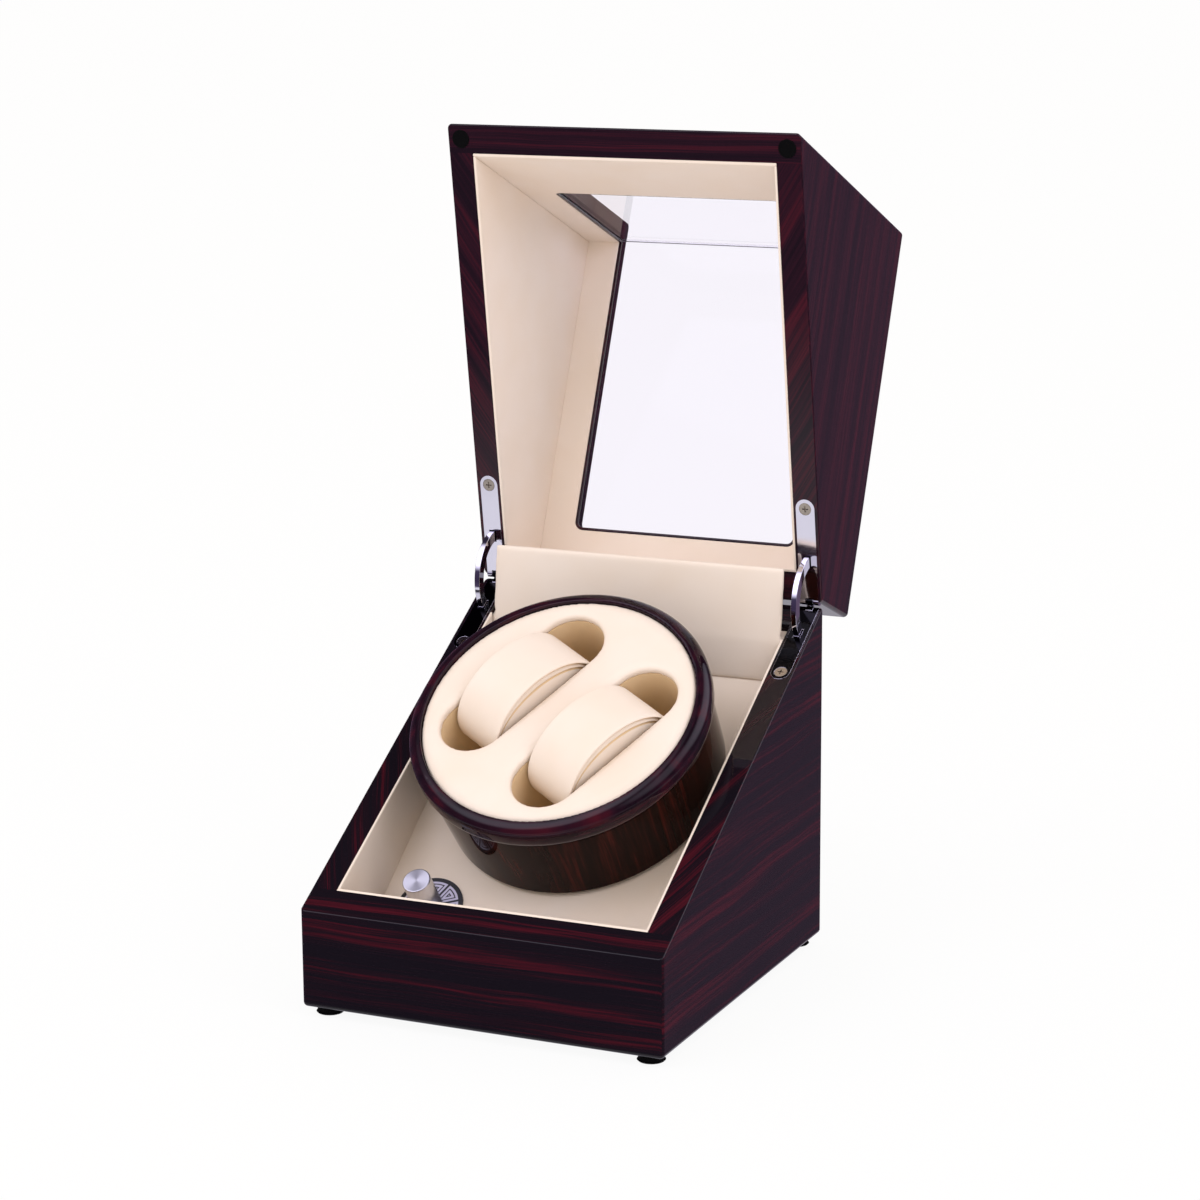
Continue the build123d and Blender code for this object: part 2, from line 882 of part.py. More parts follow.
def cushion(side):
    """A watch cushion: an oval band, crowned across its width, drawn in at its sides."""
    sections = []
    for place, inset in (
        (-cushion_width / 2, cushion_draw_in + cushion_crown),
        (-cushion_shoulder, cushion_shoulder_drop),
        (0, 0),
        (cushion_shoulder, cushion_shoulder_drop),
        (cushion_width / 2, cushion_draw_in + cushion_crown),
    ):
        wire = oval(
            cushion_length / 2 - inset,
            cushion_height / 2 - inset,
            cushion_end_radius - inset,
        )
        sections.append(Pos(0, place, 0) * make_face(wire))
    body = loft(sections)
    for end in (-1, 1):
        outer = oval(
            cushion_length / 2 - cushion_draw_in - seam_inset,
            cushion_height / 2 - cushion_draw_in - seam_inset,
            cushion_end_radius - cushion_draw_in - seam_inset,
        )
        inner = oval(
            cushion_length / 2 - cushion_draw_in - seam_inset - seam_width,
            cushion_height / 2 - cushion_draw_in - seam_inset - seam_width,
            cushion_end_radius - cushion_draw_in - seam_inset - seam_width,
        )
        line = make_face(outer) - make_face(inner)
        start = Pos(0, end * (cushion_width / 2 + through), 0) * line
        body -= extrude(start, amount=seam_depth + through, dir=(0, -end, 0))
    height = disc_height - pocket_depth + cushion_seat + cushion_height / 2
    return slot_frame * Pos(0, side * slot_offset, height) * body


def spindle():
    return drum_frame * rod(spindle_radius, -spindle_drop, drum_low + hub_height)


def spindle_bush():
    bush = rod(bush_radius, -floor_thickness - bush_drop, 0)
    bush += rod(bush_flange_radius, -floor_thickness - bush_flange, -floor_thickness)
    bush -= rod(spindle_radius + shaft_fit, -floor_thickness - bush_drop, 0)
    return drum_frame * bush


def pulley(groove, bore):
    """A flanged belt pulley below the floor, its top face at the belt drive's height."""
    top = -pulley_top
    low = top - pulley_thickness
    lip = groove + pulley_lip
    wheel = turned(
        [
            (0, low),
            (lip, low),
            (lip, low + pulley_rim),
            (groove, low + pulley_rim),
            (groove, top - pulley_rim),
            (lip, top - pulley_rim),
            (lip, top),
            (0, top),
        ]
    )
    return wheel - rod(bore, low - through, top + through)


def drum_pulley():
    return drum_frame * pulley(drum_pulley_groove, spindle_radius)


def spindle_clip():
    top = -pulley_top - pulley_thickness
    low = top - clip_thickness
    return drum_frame * (rod(clip_radius, low, top) - rod(spindle_radius, low, top))


def motor_pulley():
    return motor_frame * pulley(motor_pulley_groove, motor_shaft_radius)


def drive_belt():
    middle = -pulley_top - pulley_thickness / 2
    belt_height = pulley_thickness - 2 * pulley_rim - 2 * belt_fit
    drum_radius = drum_pulley_groove + belt_fit
    motor_radius_in = motor_pulley_groove + belt_fit
    outer = belt_face(drum_radius + belt_thickness, motor_radius_in + belt_thickness)
    inner = belt_face(drum_radius, motor_radius_in)
    loop = extrude(outer - inner, amount=belt_height / 2, both=True)
    return drum_frame * Pos(0, 0, middle) * loop


def belt_face(big, small):
    """The area inside a belt round two pulleys, the small one downhill of the big one."""
    lean = math.asin((big - small) / motor_distance)
    across = math.cos(lean)
    along = math.sin(lean)
    big_touch = (big * across, -big * along)
    small_touch = (small * across, -motor_distance - small * along)
    return make_face(
        [
            ThreePointArc(big_touch, (0, big), (-big_touch[0], big_touch[1])),
            Line((-big_touch[0], big_touch[1]), (-small_touch[0], small_touch[1])),
            ThreePointArc(
                (-small_touch[0], small_touch[1]),
                (0, -motor_distance - small),
                small_touch,
            ),
            Line(small_touch, big_touch),
        ]
    )


def motor_screw_places():
    """The motor's two ear screws, driven up into the underside of the floor."""
    for side in (-1, 1):
        yield motor_frame * Pos(side * (motor_ear_length - motor_ear_width / 2), 0, 0)


def gear_motor():
    top = -floor_thickness
    low = top - motor_length
    body = rod(motor_radius, low, top)
    body = fillet(body.edges().sort_by(Axis.Z)[:1], motor_round)
    ears = Box(2 * motor_ear_length, motor_ear_width, motor_ear_thickness)
    body += Pos(0, 0, top - motor_ear_thickness / 2) * ears
    for side in (-1, 1):
        place = Pos(side * (motor_ear_length - motor_ear_width / 2), 0, 0)
        body -= place * rod(hole_radius, top - motor_ear_thickness, top)
    body -= rod(motor_shaft_radius + shaft_fit, low, low + motor_shaft_seat)
    return motor_frame * body


def motor_screws():
    shapes = []
    for place in motor_screw_places():
        low = -floor_thickness - motor_ear_thickness
        shapes.append(place * Pos(0, 0, low) * Rot(180, 0, 0) * wood_screw(motor_screw_length))
    return Compound(shapes)


def motor_shaft():
    high = -floor_thickness - motor_length + motor_shaft_seat - shaft_end_gap
    return motor_frame * rod(motor_shaft_radius, -pulley_top - pulley_thickness - motor_shaft_tip, high)


def dial_plate():
    plate = rod(dial_radius, 0, dial_thickness) - rod(switch_bush_radius, 0, dial_thickness)
    return switch_frame * plate


def knob():
    low = dial_thickness + knob_lift
    body = fillet(rod(knob_radius, low, knob_top).edges().sort_by(Axis.Z)[-1:], knob_round)
    body -= rod(switch_shaft_radius, low, low + knob_bore_depth)
    return switch_frame * body


def switch_shaft():
    low = -floor_thickness - switch_depth / 2
    return switch_frame * rod(switch_shaft_radius, low, dial_thickness + knob_lift + knob_bore_depth)


def switch_body():
    low = -floor_thickness - switch_depth
    body = Pos(0, 0, low + switch_depth / 2) * Box(switch_side, switch_side, switch_depth)
    body += rod(switch_bush_radius, -floor_thickness, dial_thickness)
    body -= rod(switch_shaft_radius + shaft_fit, low + switch_depth / 2 - shaft_end_gap, dial_thickness)
    return switch_frame * body


def jack_place():
    """The middle of the power inlet on the outside of the rear wall."""
    return Pos(jack_x, depth, jack_height)


def dc_jack():
    """A barrel socket with its centre pin, let through the rear wall."""
    body = rod(jack_radius, 0, wall + jack_inside)
    body += rod(jack_flange_radius, -jack_flange, 0)
    body -= rod(jack_socket_radius, -jack_flange, jack_socket_depth)
    body += rod(jack_pin_radius, 0, jack_socket_depth)
    return jack_place() * Rot(90, 0, 0) * body


def jack_nut():
    nut = extrude(RegularPolygon(jack_nut_radius, 6), amount=jack_nut_thickness)
    nut -= rod(jack_radius, 0, jack_nut_thickness)
    return jack_place() * Rot(90, 0, 0) * Pos(0, 0, wall) * nut


def board_low():
    return case_low + bottom_thickness + board_post_height


def board_corners():
    """The board's four post centres."""
    for x_side in (-1, 1):
        for y_side in (-1, 1):
            yield (
                board_x + x_side * (board_width / 2 - board_post_inset),
                board_y + y_side * (board_depth / 2 - board_post_inset),
            )


def circuit_board():
    low = board_low()
    board = Box(board_width, board_depth, board_thickness)
    board = Pos(board_x, board_y, low + board_thickness / 2) * board
    for x, y in board_corners():
        board -= Pos(x, y, low) * rod(hole_radius, 0, board_thickness)
    return board


def board_posts():
    shapes = []
    for x, y in board_corners():
        post = rod(board_post_radius, 0, board_post_height) - rod(hole_radius, board_post_base, board_post_height)
        shapes.append(Pos(x, y, case_low + bottom_thickness) * post)
    return Compound(shapes)


def board_screws():
    shapes = []
    for x, y in board_corners():
        shapes.append(Pos(x, y, board_low() + board_thickness) * wood_screw(board_post_height))
    return Compound(shapes)


def board_chips():
    top = board_low() + board_thickness
    chip = Pos(board_x, board_y, top + chip_height / 2) * Box(chip_side, chip_side, chip_height)
    place = Pos(board_x - board_width / 4, board_y, top)
    capacitor = place * rod(capacitor_radius, 0, capacitor_height)
    return Compound([chip, capacitor])


def lead(points):
    """An inside wire along straight runs with round bends."""
    path = FilletPolyline(*points, radius=lead_bend)
    start = Plane(origin=path @ 0, z_dir=path % 0)
    return sweep(start * Circle(lead_radius), path=path)


def jack_lead():
    end = depth - wall - jack_inside
    x = jack_x
    landing = board_low() + board_thickness
    middle = (end + board_y) / 2
    return lead([(x, end, jack_height), (x, middle, jack_height), (x, middle, landing)])


def motor_lead():
    """From the motor's underside down to the board."""
    start = motor_frame * Pos(motor_radius - motor_lead_inset, 0, -floor_thickness - motor_length)
    begin = start.position
    step = 2 * lead_bend
    down = (start * Pos(0, 0, -step)).position
    landing = board_low() + board_thickness
    x = board_x - board_width / 2 + board_lead_inset
    y = board_y - board_depth / 2 + board_lead_depth
    return lead([begin, down, (x, y, down.Z), (x, y, landing)])


def build():
    """Every sub-part by name, in the case's own place with the lid open."""
    pieces = {
        "base_case": base_case(),
        "bottom_panel": bottom_panel(),
        "feet": feet(),
        "foot_screws": foot_screws(),
        "bottom_screws": bottom_screws(),
        "floor_panel": floor_panel(),
        "base_lining_front": base_front_lining(),
        "rear_panel": rear_panel(),
        "dial_plate": dial_plate(),
        "switch_body": switch_body(),
        "switch_shaft": switch_shaft(),
        "knob": knob(),
        "drum_shell": drum_shell(),
        "drum_ring": drum_ring(),
        "insert_disc": insert_disc(),
        "spindle": spindle(),
        "spindle_bush": spindle_bush(),
        "spindle_clip": spindle_clip(),
        "drum_pulley": drum_pulley(),
        "motor_pulley": motor_pulley(),
        "motor_shaft": motor_shaft(),
        "drive_belt": drive_belt(),
        "gear_motor": gear_motor(),
        "motor_screws": motor_screws(),
        "circuit_board": circuit_board(),
        "board_posts": board_posts(),
        "board_screws": board_screws(),
        "board_chips": board_chips(),
        "dc_jack": dc_jack(),
        "jack_nut": jack_nut(),
        "jack_lead": jack_lead(),
        "motor_lead": motor_lead(),
        "lid_case": lid_case(),
        "top_pane": top_pane(),
        "front_pane": front_pane(),
        "lid_lining_top": lid_top_lining(),
        "lid_lining_front": lid_front_lining(),
        "lid_lining_rear": lid_rear_lining(),
        "lid_bumpers": lid_bumpers(),
        "base_hinge_screws": base_hinge_screws(),
        "lid_hinge_screws": lid_hinge_screws(),
    }
    for name, side in (("left", -1), ("right", 1)):
        pieces["base_lining_" + name] = base_side_lining(side)
        pieces["lid_lining_" + name] = lid_side_lining(side)
        pieces["hinge_base_plate_" + name] = hinge_base_plate(side)
        pieces["hinge_lid_plate_" + name] = hinge_lid_plate(side)
        pieces["hinge_pin_" + name] = hinge_pin(side)
        pieces["quadrant_arm_" + name] = quadrant_arm(side)
        pieces["pocket_" + name] = pocket(-side)
        pieces["cushion_" + name] = cushion(-side)
    return pieces


pieces = build()
origin_y = pieces["lid_case"].bounding_box().max.Y / 2
os.makedirs("parts", exist_ok=True)
for node, shape in pieces.items():
    export_step(Pos(0, -origin_y, 0) * shape, "parts/" + node + ".step")
print("origin is", round(origin_y, 4), "mm behind the front face")
print("pivot", round(pivot_y - origin_y, 4), round(pivot_z, 4))
print("belt ratio", round(belt_ratio, 6))
for name, place in (("drum", drum_frame), ("motor", motor_frame), ("knob", switch_frame)):
    middle = place.position - Vector(0, origin_y, 0)
    print(name, "turns about", round(middle.X, 4), round(middle.Y, 4), round(middle.Z, 4))
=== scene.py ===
import json
import math

import bmesh
import bpy
from mathutils import Matrix, Vector


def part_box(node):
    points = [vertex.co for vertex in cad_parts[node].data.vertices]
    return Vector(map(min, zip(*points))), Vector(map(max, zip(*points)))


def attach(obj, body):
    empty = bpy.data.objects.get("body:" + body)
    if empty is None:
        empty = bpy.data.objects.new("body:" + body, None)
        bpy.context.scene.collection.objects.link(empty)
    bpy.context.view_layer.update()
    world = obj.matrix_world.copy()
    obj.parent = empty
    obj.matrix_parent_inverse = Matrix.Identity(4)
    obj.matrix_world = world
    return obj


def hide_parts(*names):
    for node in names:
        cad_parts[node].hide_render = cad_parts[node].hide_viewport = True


# A double watch winder: a lacquered box whose windowed lid stands open over a tilted drum with two cushions
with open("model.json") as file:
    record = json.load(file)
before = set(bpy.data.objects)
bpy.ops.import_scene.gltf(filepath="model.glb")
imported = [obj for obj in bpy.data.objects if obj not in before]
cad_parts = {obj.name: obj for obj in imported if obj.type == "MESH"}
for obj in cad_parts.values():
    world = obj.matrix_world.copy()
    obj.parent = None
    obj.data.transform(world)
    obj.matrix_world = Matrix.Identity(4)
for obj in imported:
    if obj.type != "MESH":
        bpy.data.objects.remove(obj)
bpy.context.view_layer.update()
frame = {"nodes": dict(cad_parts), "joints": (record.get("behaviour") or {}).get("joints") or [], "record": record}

# Places and directions, from the frame's own joints

# Sizes are in metres, and mm turns a real size in millimetres into them
mm = 0.001
joints = {joint["name"]: joint for joint in frame["joints"]}
hinge_line = Vector(joints["lid_hinge"]["pos_m"])
open_angle = math.radians(joints["lid_hinge"]["range_deg"][1])
drum_axis = Vector(joints["drum_spin"]["axis"])
drum_foot = Vector(joints["drum_spin"]["pos_m"])
knob_foot = Vector(joints["knob_turn"]["pos_m"])
# The drum's slots run this far round from the object's X
slot_turn = math.radians(60)


def upright_on(origin, up):
    """A place whose own Z is a direction of the object's middle plane, and whose X stays the object's."""
    across = Vector((1, 0, 0))
    turn = Matrix((across, up.cross(across), up)).transposed()
    return Matrix.Translation(origin) @ turn.to_4x4()


drum_place = upright_on(drum_foot, drum_axis)
slot_place = drum_place @ Matrix.Rotation(slot_turn, 4, "Z")
knob_place = upright_on(knob_foot, drum_axis)
# Turns the lid's pieces from where they stand open to the closed box
lid_shut = (
    Matrix.Translation(hinge_line) @ Matrix.Rotation(open_angle, 4, "X") @ Matrix.Translation(-hinge_line)
)


def extent(node, place):
    """The lowest and highest corner of a node in a place's own directions."""
    back = place.inverted()
    points = [back @ vertex.co for vertex in frame["nodes"][node].data.vertices]
    low = Vector([min(point[i] for point in points) for i in range(3)])
    high = Vector([max(point[i] for point in points) for i in range(3)])
    return low, high


# Modelling helpers


def only(piece):
    """Makes a piece the one selected object."""
    if bpy.context.object and bpy.context.object.mode == "EDIT":
        bpy.ops.object.mode_set(mode="OBJECT")
    bpy.ops.object.select_all(action="DESELECT")
    piece.select_set(True)
    bpy.context.view_layer.objects.active = piece


def start(name, primitive, **settings):
    """Adds a primitive with nothing else selected, and opens it in edit mode."""
    if bpy.context.object and bpy.context.object.mode == "EDIT":
        bpy.ops.object.mode_set(mode="OBJECT")
    bpy.ops.object.select_all(action="DESELECT")
    primitive(**settings)
    piece = bpy.context.object
    piece.name = name
    piece.data.name = name
    bpy.ops.object.mode_set(mode="EDIT")
    bpy.ops.mesh.select_all(action="DESELECT")
    return piece


def start_copy(name, node):
    """Copies a node's mesh, merges its loose triangles and opens the copy in edit mode."""
    piece = bpy.data.objects.new(name, frame["nodes"][node].data.copy())
    bpy.context.scene.collection.objects.link(piece)
    only(piece)
    bpy.ops.mesh.customdata_custom_splitnormals_clear()
    bpy.ops.object.mode_set(mode="EDIT")
    bpy.ops.mesh.select_all(action="SELECT")
    bpy.ops.mesh.remove_doubles(threshold=0.001 * mm)
    bpy.ops.mesh.dissolve_limited(angle_limit=math.radians(0.5))
    bpy.ops.mesh.select_all(action="DESELECT")
    return piece


def pick(piece, kind, test):
    """Selects the FACE or EDGE elements that pass a test, and nothing else."""
    bpy.ops.mesh.select_mode(type=kind)
    bpy.ops.mesh.select_all(action="DESELECT")
    shape = bmesh.from_edit_mesh(piece.data)
    for element in shape.faces if kind == "FACE" else shape.edges:
        if test(element):
            element.select_set(True)
    bmesh.update_edit_mesh(piece.data)


def modify(piece, kind, **settings):
    """Adds a modifier with its settings and applies it."""
    only(piece)
    made = piece.modifiers.new(kind.title(), kind)
    for name, value in settings.items():
        setattr(made, name, value)
    bpy.ops.object.modifier_apply(modifier=made.name)


def settle(piece, place, body, finish, replaced=(), crease=35):
    """Puts a finished mesh in its place, on its body, with its finish."""
    only(piece)
    piece.data.transform(place @ piece.matrix_world)
    piece.matrix_world = Matrix.Identity(4)
    if crease is None:
        bpy.ops.object.shade_smooth()
    else:
        bpy.ops.object.shade_smooth_by_angle(angle=math.radians(crease))
    piece.data.materials.clear()
    piece.data.materials.append(finish)
    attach(piece, body)
    if replaced:
        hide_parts(*replaced)


def second_finish(piece, finish, faces):
    """Gives some of a settled piece's faces, by their numbers, a finish of their own."""
    piece.data.materials.append(finish)
    for index in faces:
        piece.data.polygons[index].material_index = 1


def puff(piece, pressure, cap, held):
    """Blows a closed skin up with the cloth solver. Points that pass the held test stay where they are, and
    none moves further than the cap."""
    only(piece)
    # The solver works on the skin at this many times its size, where its own limits are small
    scale = 10
    steps = 20
    rest = [vertex.co.copy() for vertex in piece.data.vertices]
    group = piece.vertex_groups.new(name="held")
    group.add([vertex.index for vertex in piece.data.vertices if held(vertex.co)], 1.0, "REPLACE")
    piece.data.transform(Matrix.Scale(scale, 4))
    cloth = piece.modifiers.new("Cloth", "CLOTH")
    cloth.settings.vertex_group_mass = "held"
    cloth.settings.use_pressure = True
    cloth.settings.uniform_pressure_force = pressure
    cloth.settings.effector_weights.gravity = 0
    for step in range(1, steps + 1):
        bpy.context.scene.frame_set(step)
    bpy.ops.object.modifier_apply(modifier="Cloth")
    bpy.context.scene.frame_set(1)
    for vertex, before in zip(piece.data.vertices, rest):
        moved = vertex.co / scale - before
        if moved.length > cap:
            moved *= cap / moved.length
        vertex.co = before + moved
    piece.vertex_groups.clear()


# Shader helpers


def linear(colour):
    """An sRGB hex colour as the linear values that a shader takes."""
    values = [int(colour[i : i + 2], 16) / 255 for i in (1, 3, 5)]
    return [v / 12.92 if v <= 0.04045 else ((v + 0.055) / 1.055) ** 2.4 for v in values] + [1.0]


def add(tree, kind, inputs=None, stops=None, **settings):
    """Adds a shader node. An input is given a value or the output to link; stops fill a colour ramp."""
    made = tree.nodes.new("ShaderNode" + kind)
    for name, value in settings.items():
        setattr(made, name, value)
    for name, value in (inputs or {}).items():
        if isinstance(value, bpy.types.NodeSocket):
            tree.links.new(value, made.inputs[name])
        else:
            made.inputs[name].default_value = value
    for number, (position, colour) in enumerate(stops or []):
        ramp = made.color_ramp.elements
        stop = ramp[number] if number < 2 else ramp.new(position)
        stop.position = position
        stop.color = linear(colour)
    return made


def finish_of(name, inputs):
    """A material with one Principled shader, its inputs set, and nothing linked yet."""
    made = bpy.data.materials.new(name)
    made.use_nodes = True
    made.node_tree.nodes.clear()
    shader = add(made.node_tree, "BsdfPrincipled", inputs)
    add(made.node_tree, "OutputMaterial", {"Surface": shader.outputs["BSDF"]})
    return made, made.node_tree, shader


def link(tree, source, shader, socket):
    """Links an output to a shader's socket."""
    tree.links.new(source, shader.inputs[socket])


def own_place(tree, place):
    """Object coordinates turned into a place's own directions."""
    back = place.inverted()
    coordinates = add(tree, "TexCoord").outputs["Object"]
    return add(
        tree,
        "Mapping",
        {"Vector": coordinates, "Location": back.to_translation(), "Rotation": back.to_euler()},
    ).outputs[0]


# Lacquered veneer

# The veneer's layers of noise: length and width of a stripe in millimetres, detail, and share of the tone.
# The first draws the bands, the second the streaks and the third the fibres, coarser than real ones.
veneer_layers = (
    (260, 16, 1.0, 0.38),
    (120, 3.0, 3.0, 0.45),
    (30, 0.7, 1.0, 0.17),
)


def veneer_colour(tree, grain, fine, tones):
    """Striped veneer like rosewood, from a vector of (along, across, patch) in metres: nearly black bands of
    heartwood, wine-red streaks a few millimetres wide and hair-fine fibres. fine narrows the stripes."""
    # The grain wanders sideways by this much, in waves of this length and width
    wander = 4.5 * mm
    wave_length, wave_width = 60 * mm, 35 * mm
    # How far apart the noise of two boards lies for each step of the patch
    patch_step = 7
    stretch = (1 / wave_length, 1 / wave_width, 1)
    slow = add(tree, "VectorMath", {0: grain, 1: stretch}, operation="MULTIPLY").outputs[0]
    waves = add(tree, "TexNoise", {"Vector": slow, "Scale": 1.0, "Detail": 1.0}).outputs["Color"]
    moved = {0: waves, 1: (0, wander, 0), 2: grain}
    swayed = add(tree, "VectorMath", moved, operation="MULTIPLY_ADD").outputs[0]
    tone = 0.0
    for length, width, detail, share in veneer_layers:
        stretch = (1 / (length * mm), fine / (width * mm), patch_step)
        stripes = add(tree, "VectorMath", {0: swayed, 1: stretch}, operation="MULTIPLY").outputs[0]
        layer = add(tree, "TexNoise", {"Vector": stripes, "Scale": 1.0, "Detail": detail, "Roughness": 0.6})
        blend = {0: layer.outputs["Fac"], 1: share, 2: tone}
        tone = add(tree, "Math", blend, operation="MULTIPLY_ADD").outputs[0]
    return add(tree, "ValToRGB", {"Fac": tone}, stops=tones).outputs["Color"]


# Each veneer's tones, from the dark heartwood to the reddest streaks
base_tones = ((0.45, "#141017"), (0.53, "#1d1018"), (0.60, "#3c111b"), (0.70, "#4f1622"))
lid_tones = ((0.42, "#1b1019"), (0.50, "#27131e"), (0.58, "#391520"), (0.70, "#471824"))
ring_tones = ((0.42, "#170c15"), (0.52, "#26101c"), (0.64, "#3f121d"), (0.75, "#4d1823"))
drum_tones = ((0.44, "#190c09"), (0.53, "#240f0b"), (0.62, "#3a1510"), (0.72, "#491a13"))


def lacquered(name, grain, tones, fine=1.0, shine=1.33):
    """Piano lacquer over veneer: several clear coats rubbed flat and buffed, so it mirrors like wet glass.
    shine is the coat's IOR, matched to the real one's reflections, which are fainter than plain lacquer's."""
    made, tree, shader = finish_of(
        name,
        {
            "Roughness": 0.5,
            "Specular IOR Level": 0.0,
            "Coat Weight": 1.0,
            "Coat Roughness": 0.02,
            "Coat IOR": shine,
        },
    )
    link(tree, veneer_colour(tree, grain(tree), fine, tones), shader, "Base Color")
    return made


def rim_slope():
    """How steeply the split between the halves rises, from the base's own corners."""
    low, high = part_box("base_case")
    tall = [v.co.z for v in frame["nodes"]["base_case"].data.vertices if v.co.y < low.y + 0.01 * mm]
    return math.atan2(high.z - max(tall), high.y - low.y)


def inner_half():
    """Half the width between the case's walls, taken from the front lining that fills it."""
    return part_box("base_lining_front")[1].x


def case_grain(tree, shut=None):
    """The case's veneer runs along X at the front, back, top and bottom, and along Y on the sides. On the
    sloped rim the side members run askew, behind a rail at the front. shut turns the lid's coordinates back
    to the closed box."""
    # The grain of the rim's side members lies this far off their length
    askew = math.radians(32 if shut else -25)
    # Each board has a patch of its own, so that no two show the same stripes
    front_patch, side_patch = 0.3, 1.7
    # How squarely a face has to look to a side, or out of the rim, to count as one
    side_share, rim_share = 0.7, 0.95
    coordinates = add(tree, "TexCoord")
    place, normal = coordinates.outputs["Object"], coordinates.outputs["Normal"]
    if shut:
        turn = shut.to_euler()
        moved = {"Vector": place, "Location": shut.to_translation(), "Rotation": turn}
        place = add(tree, "Mapping", moved).outputs[0]
        normal = add(tree, "Mapping", {"Vector": normal, "Rotation": turn}, vector_type="NORMAL").outputs[0]
    p = add(tree, "SeparateXYZ", {"Vector": place})
    n = add(tree, "SeparateXYZ", {"Vector": normal})
    height = add(tree, "Math", {0: p.outputs["Y"], 1: p.outputs["Z"]}, operation="ADD").outputs[0]
    facing = add(tree, "Math", {0: n.outputs["X"]}, operation="ABSOLUTE").outputs[0]
    is_side = add(tree, "Math", {0: facing, 1: side_share}, operation="GREATER_THAN").outputs[0]
    front = add(tree, "CombineXYZ", {"X": p.outputs["X"], "Y": height, "Z": front_patch}).outputs[0]
    side = add(tree, "CombineXYZ", {"X": p.outputs["Y"], "Y": p.outputs["Z"], "Z": side_patch}).outputs[0]
    flat = add(tree, "Mix", {0: is_side, 4: front, 5: side}, data_type="VECTOR").outputs[1]
    slope = rim_slope()
    uphill = (0, math.cos(slope), math.sin(slope))
    along = add(tree, "VectorMath", {0: place, 1: uphill}, operation="DOT_PRODUCT").outputs["Value"]
    mirrored = add(tree, "Math", {0: p.outputs["X"]}, operation="ABSOLUTE").outputs[0]
    cosine, sine = math.cos(askew), math.sin(askew)
    part = add(tree, "Math", {0: along, 1: cosine}, operation="MULTIPLY").outputs[0]
    rim_along = add(tree, "Math", {0: mirrored, 1: -sine, 2: part}, operation="MULTIPLY_ADD").outputs[0]
    part = add(tree, "Math", {0: along, 1: sine}, operation="MULTIPLY").outputs[0]
    rim_across = add(tree, "Math", {0: mirrored, 1: cosine, 2: part}, operation="MULTIPLY_ADD").outputs[0]
    member = add(tree, "CombineXYZ", {"X": rim_along, "Y": rim_across, "Z": p.outputs["X"]}).outputs[0]
    out_of_rim = (0, math.sin(slope), -math.cos(slope)) if shut else (0, -math.sin(slope), math.cos(slope))
    squareness = add(tree, "VectorMath", {0: normal, 1: out_of_rim}, operation="DOT_PRODUCT").outputs["Value"]
    on_rim = add(tree, "Math", {0: squareness, 1: rim_share}, operation="GREATER_THAN").outputs[0]
    outside = add(tree, "Math", {0: mirrored, 1: inner_half() - 1 * mm}, operation="GREATER_THAN").outputs[0]
    front_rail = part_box("base_lining_front")[0].y
    behind_rail = add(tree, "Math", {0: p.outputs["Y"], 1: front_rail}, operation="GREATER_THAN").outputs[0]
    side_member = add(tree, "Math", {0: outside, 1: behind_rail}, operation="MULTIPLY").outputs[0]
    is_member = add(tree, "Math", {0: on_rim, 1: side_member}, operation="MULTIPLY").outputs[0]
    return add(tree, "Mix", {0: is_member, 4: flat, 5: member}, data_type="VECTOR").outputs[1]


def drum_grain(tree):
    """The drum's veneer runs along its axis. X draws the stripes at front and rear, and Y at the sides."""
    # Patches in a metre, which draw stripes about 1.6 mm wide on the sides
    patches = 90.0
    parts = add(tree, "SeparateXYZ", {"Vector": own_place(tree, drum_place)})
    patch = add(tree, "Math", {0: parts.outputs["Y"], 1: patches}, operation="MULTIPLY").outputs[0]
    return add(tree, "CombineXYZ", {"X": parts.outputs["Z"], "Y": parts.outputs["X"], "Z": patch}).outputs[0]


def ring_grain(tree):
    """The ring's streaks run round it, from the cosine and sine of the angle so that no joint shows."""
    place = own_place(tree, drum_place)
    parts = add(tree, "SeparateXYZ", {"Vector": place})
    flat = add(tree, "VectorMath", {0: place, 1: (1, 1, 0)}, operation="MULTIPLY").outputs[0]
    radius = add(tree, "VectorMath", {0: flat}, operation="LENGTH").outputs["Value"]
    round_it = add(tree, "VectorMath", {0: flat}, operation="NORMALIZE").outputs[0]
    turn = add(tree, "SeparateXYZ", {"Vector": round_it})
    across = add(tree, "Math", {0: radius, 1: parts.outputs["Z"]}, operation="ADD").outputs[0]
    # About the ring's radius, which makes the cosine a length again
    reach = 60 * mm
    along = add(tree, "Math", {0: turn.outputs["X"], 1: reach}, operation="MULTIPLY").outputs[0]
    return add(tree, "CombineXYZ", {"X": along, "Y": across, "Z": turn.outputs["Y"]}).outputs[0]


# Other finishes


def leatherette(name, shade, light):
    """Leatherette: polyurethane pressed with a fine pebble over card or foam, satin and a little uneven."""
    made, tree, shader = finish_of(name, {"Roughness": 0.55, "Specular IOR Level": 0.35})
    coordinates = add(tree, "TexCoord").outputs["Object"]
    # The real pebble is about 0.35 mm, drawn at 0.8 mm so that it shows
    pebble = add(
        tree,
        "TexVoronoi",
        {"Vector": coordinates, "Scale": 1 / (0.8 * mm), "Smoothness": 0.6},
        feature="SMOOTH_F1",
    )
    cloud = add(tree, "TexNoise", {"Vector": coordinates, "Scale": 1 / (25 * mm), "Detail": 2.0})
    tone = add(tree, "ValToRGB", {"Fac": cloud.outputs["Fac"]}, stops=((0.3, shade), (0.7, light)))
    link(tree, tone.outputs["Color"], shader, "Base Color")
    bump = add(tree, "Bump", {"Height": pebble.outputs["Distance"], "Strength": 0.12, "Distance": 0.08 * mm})
    link(tree, bump.outputs["Normal"], shader, "Normal")
    return made


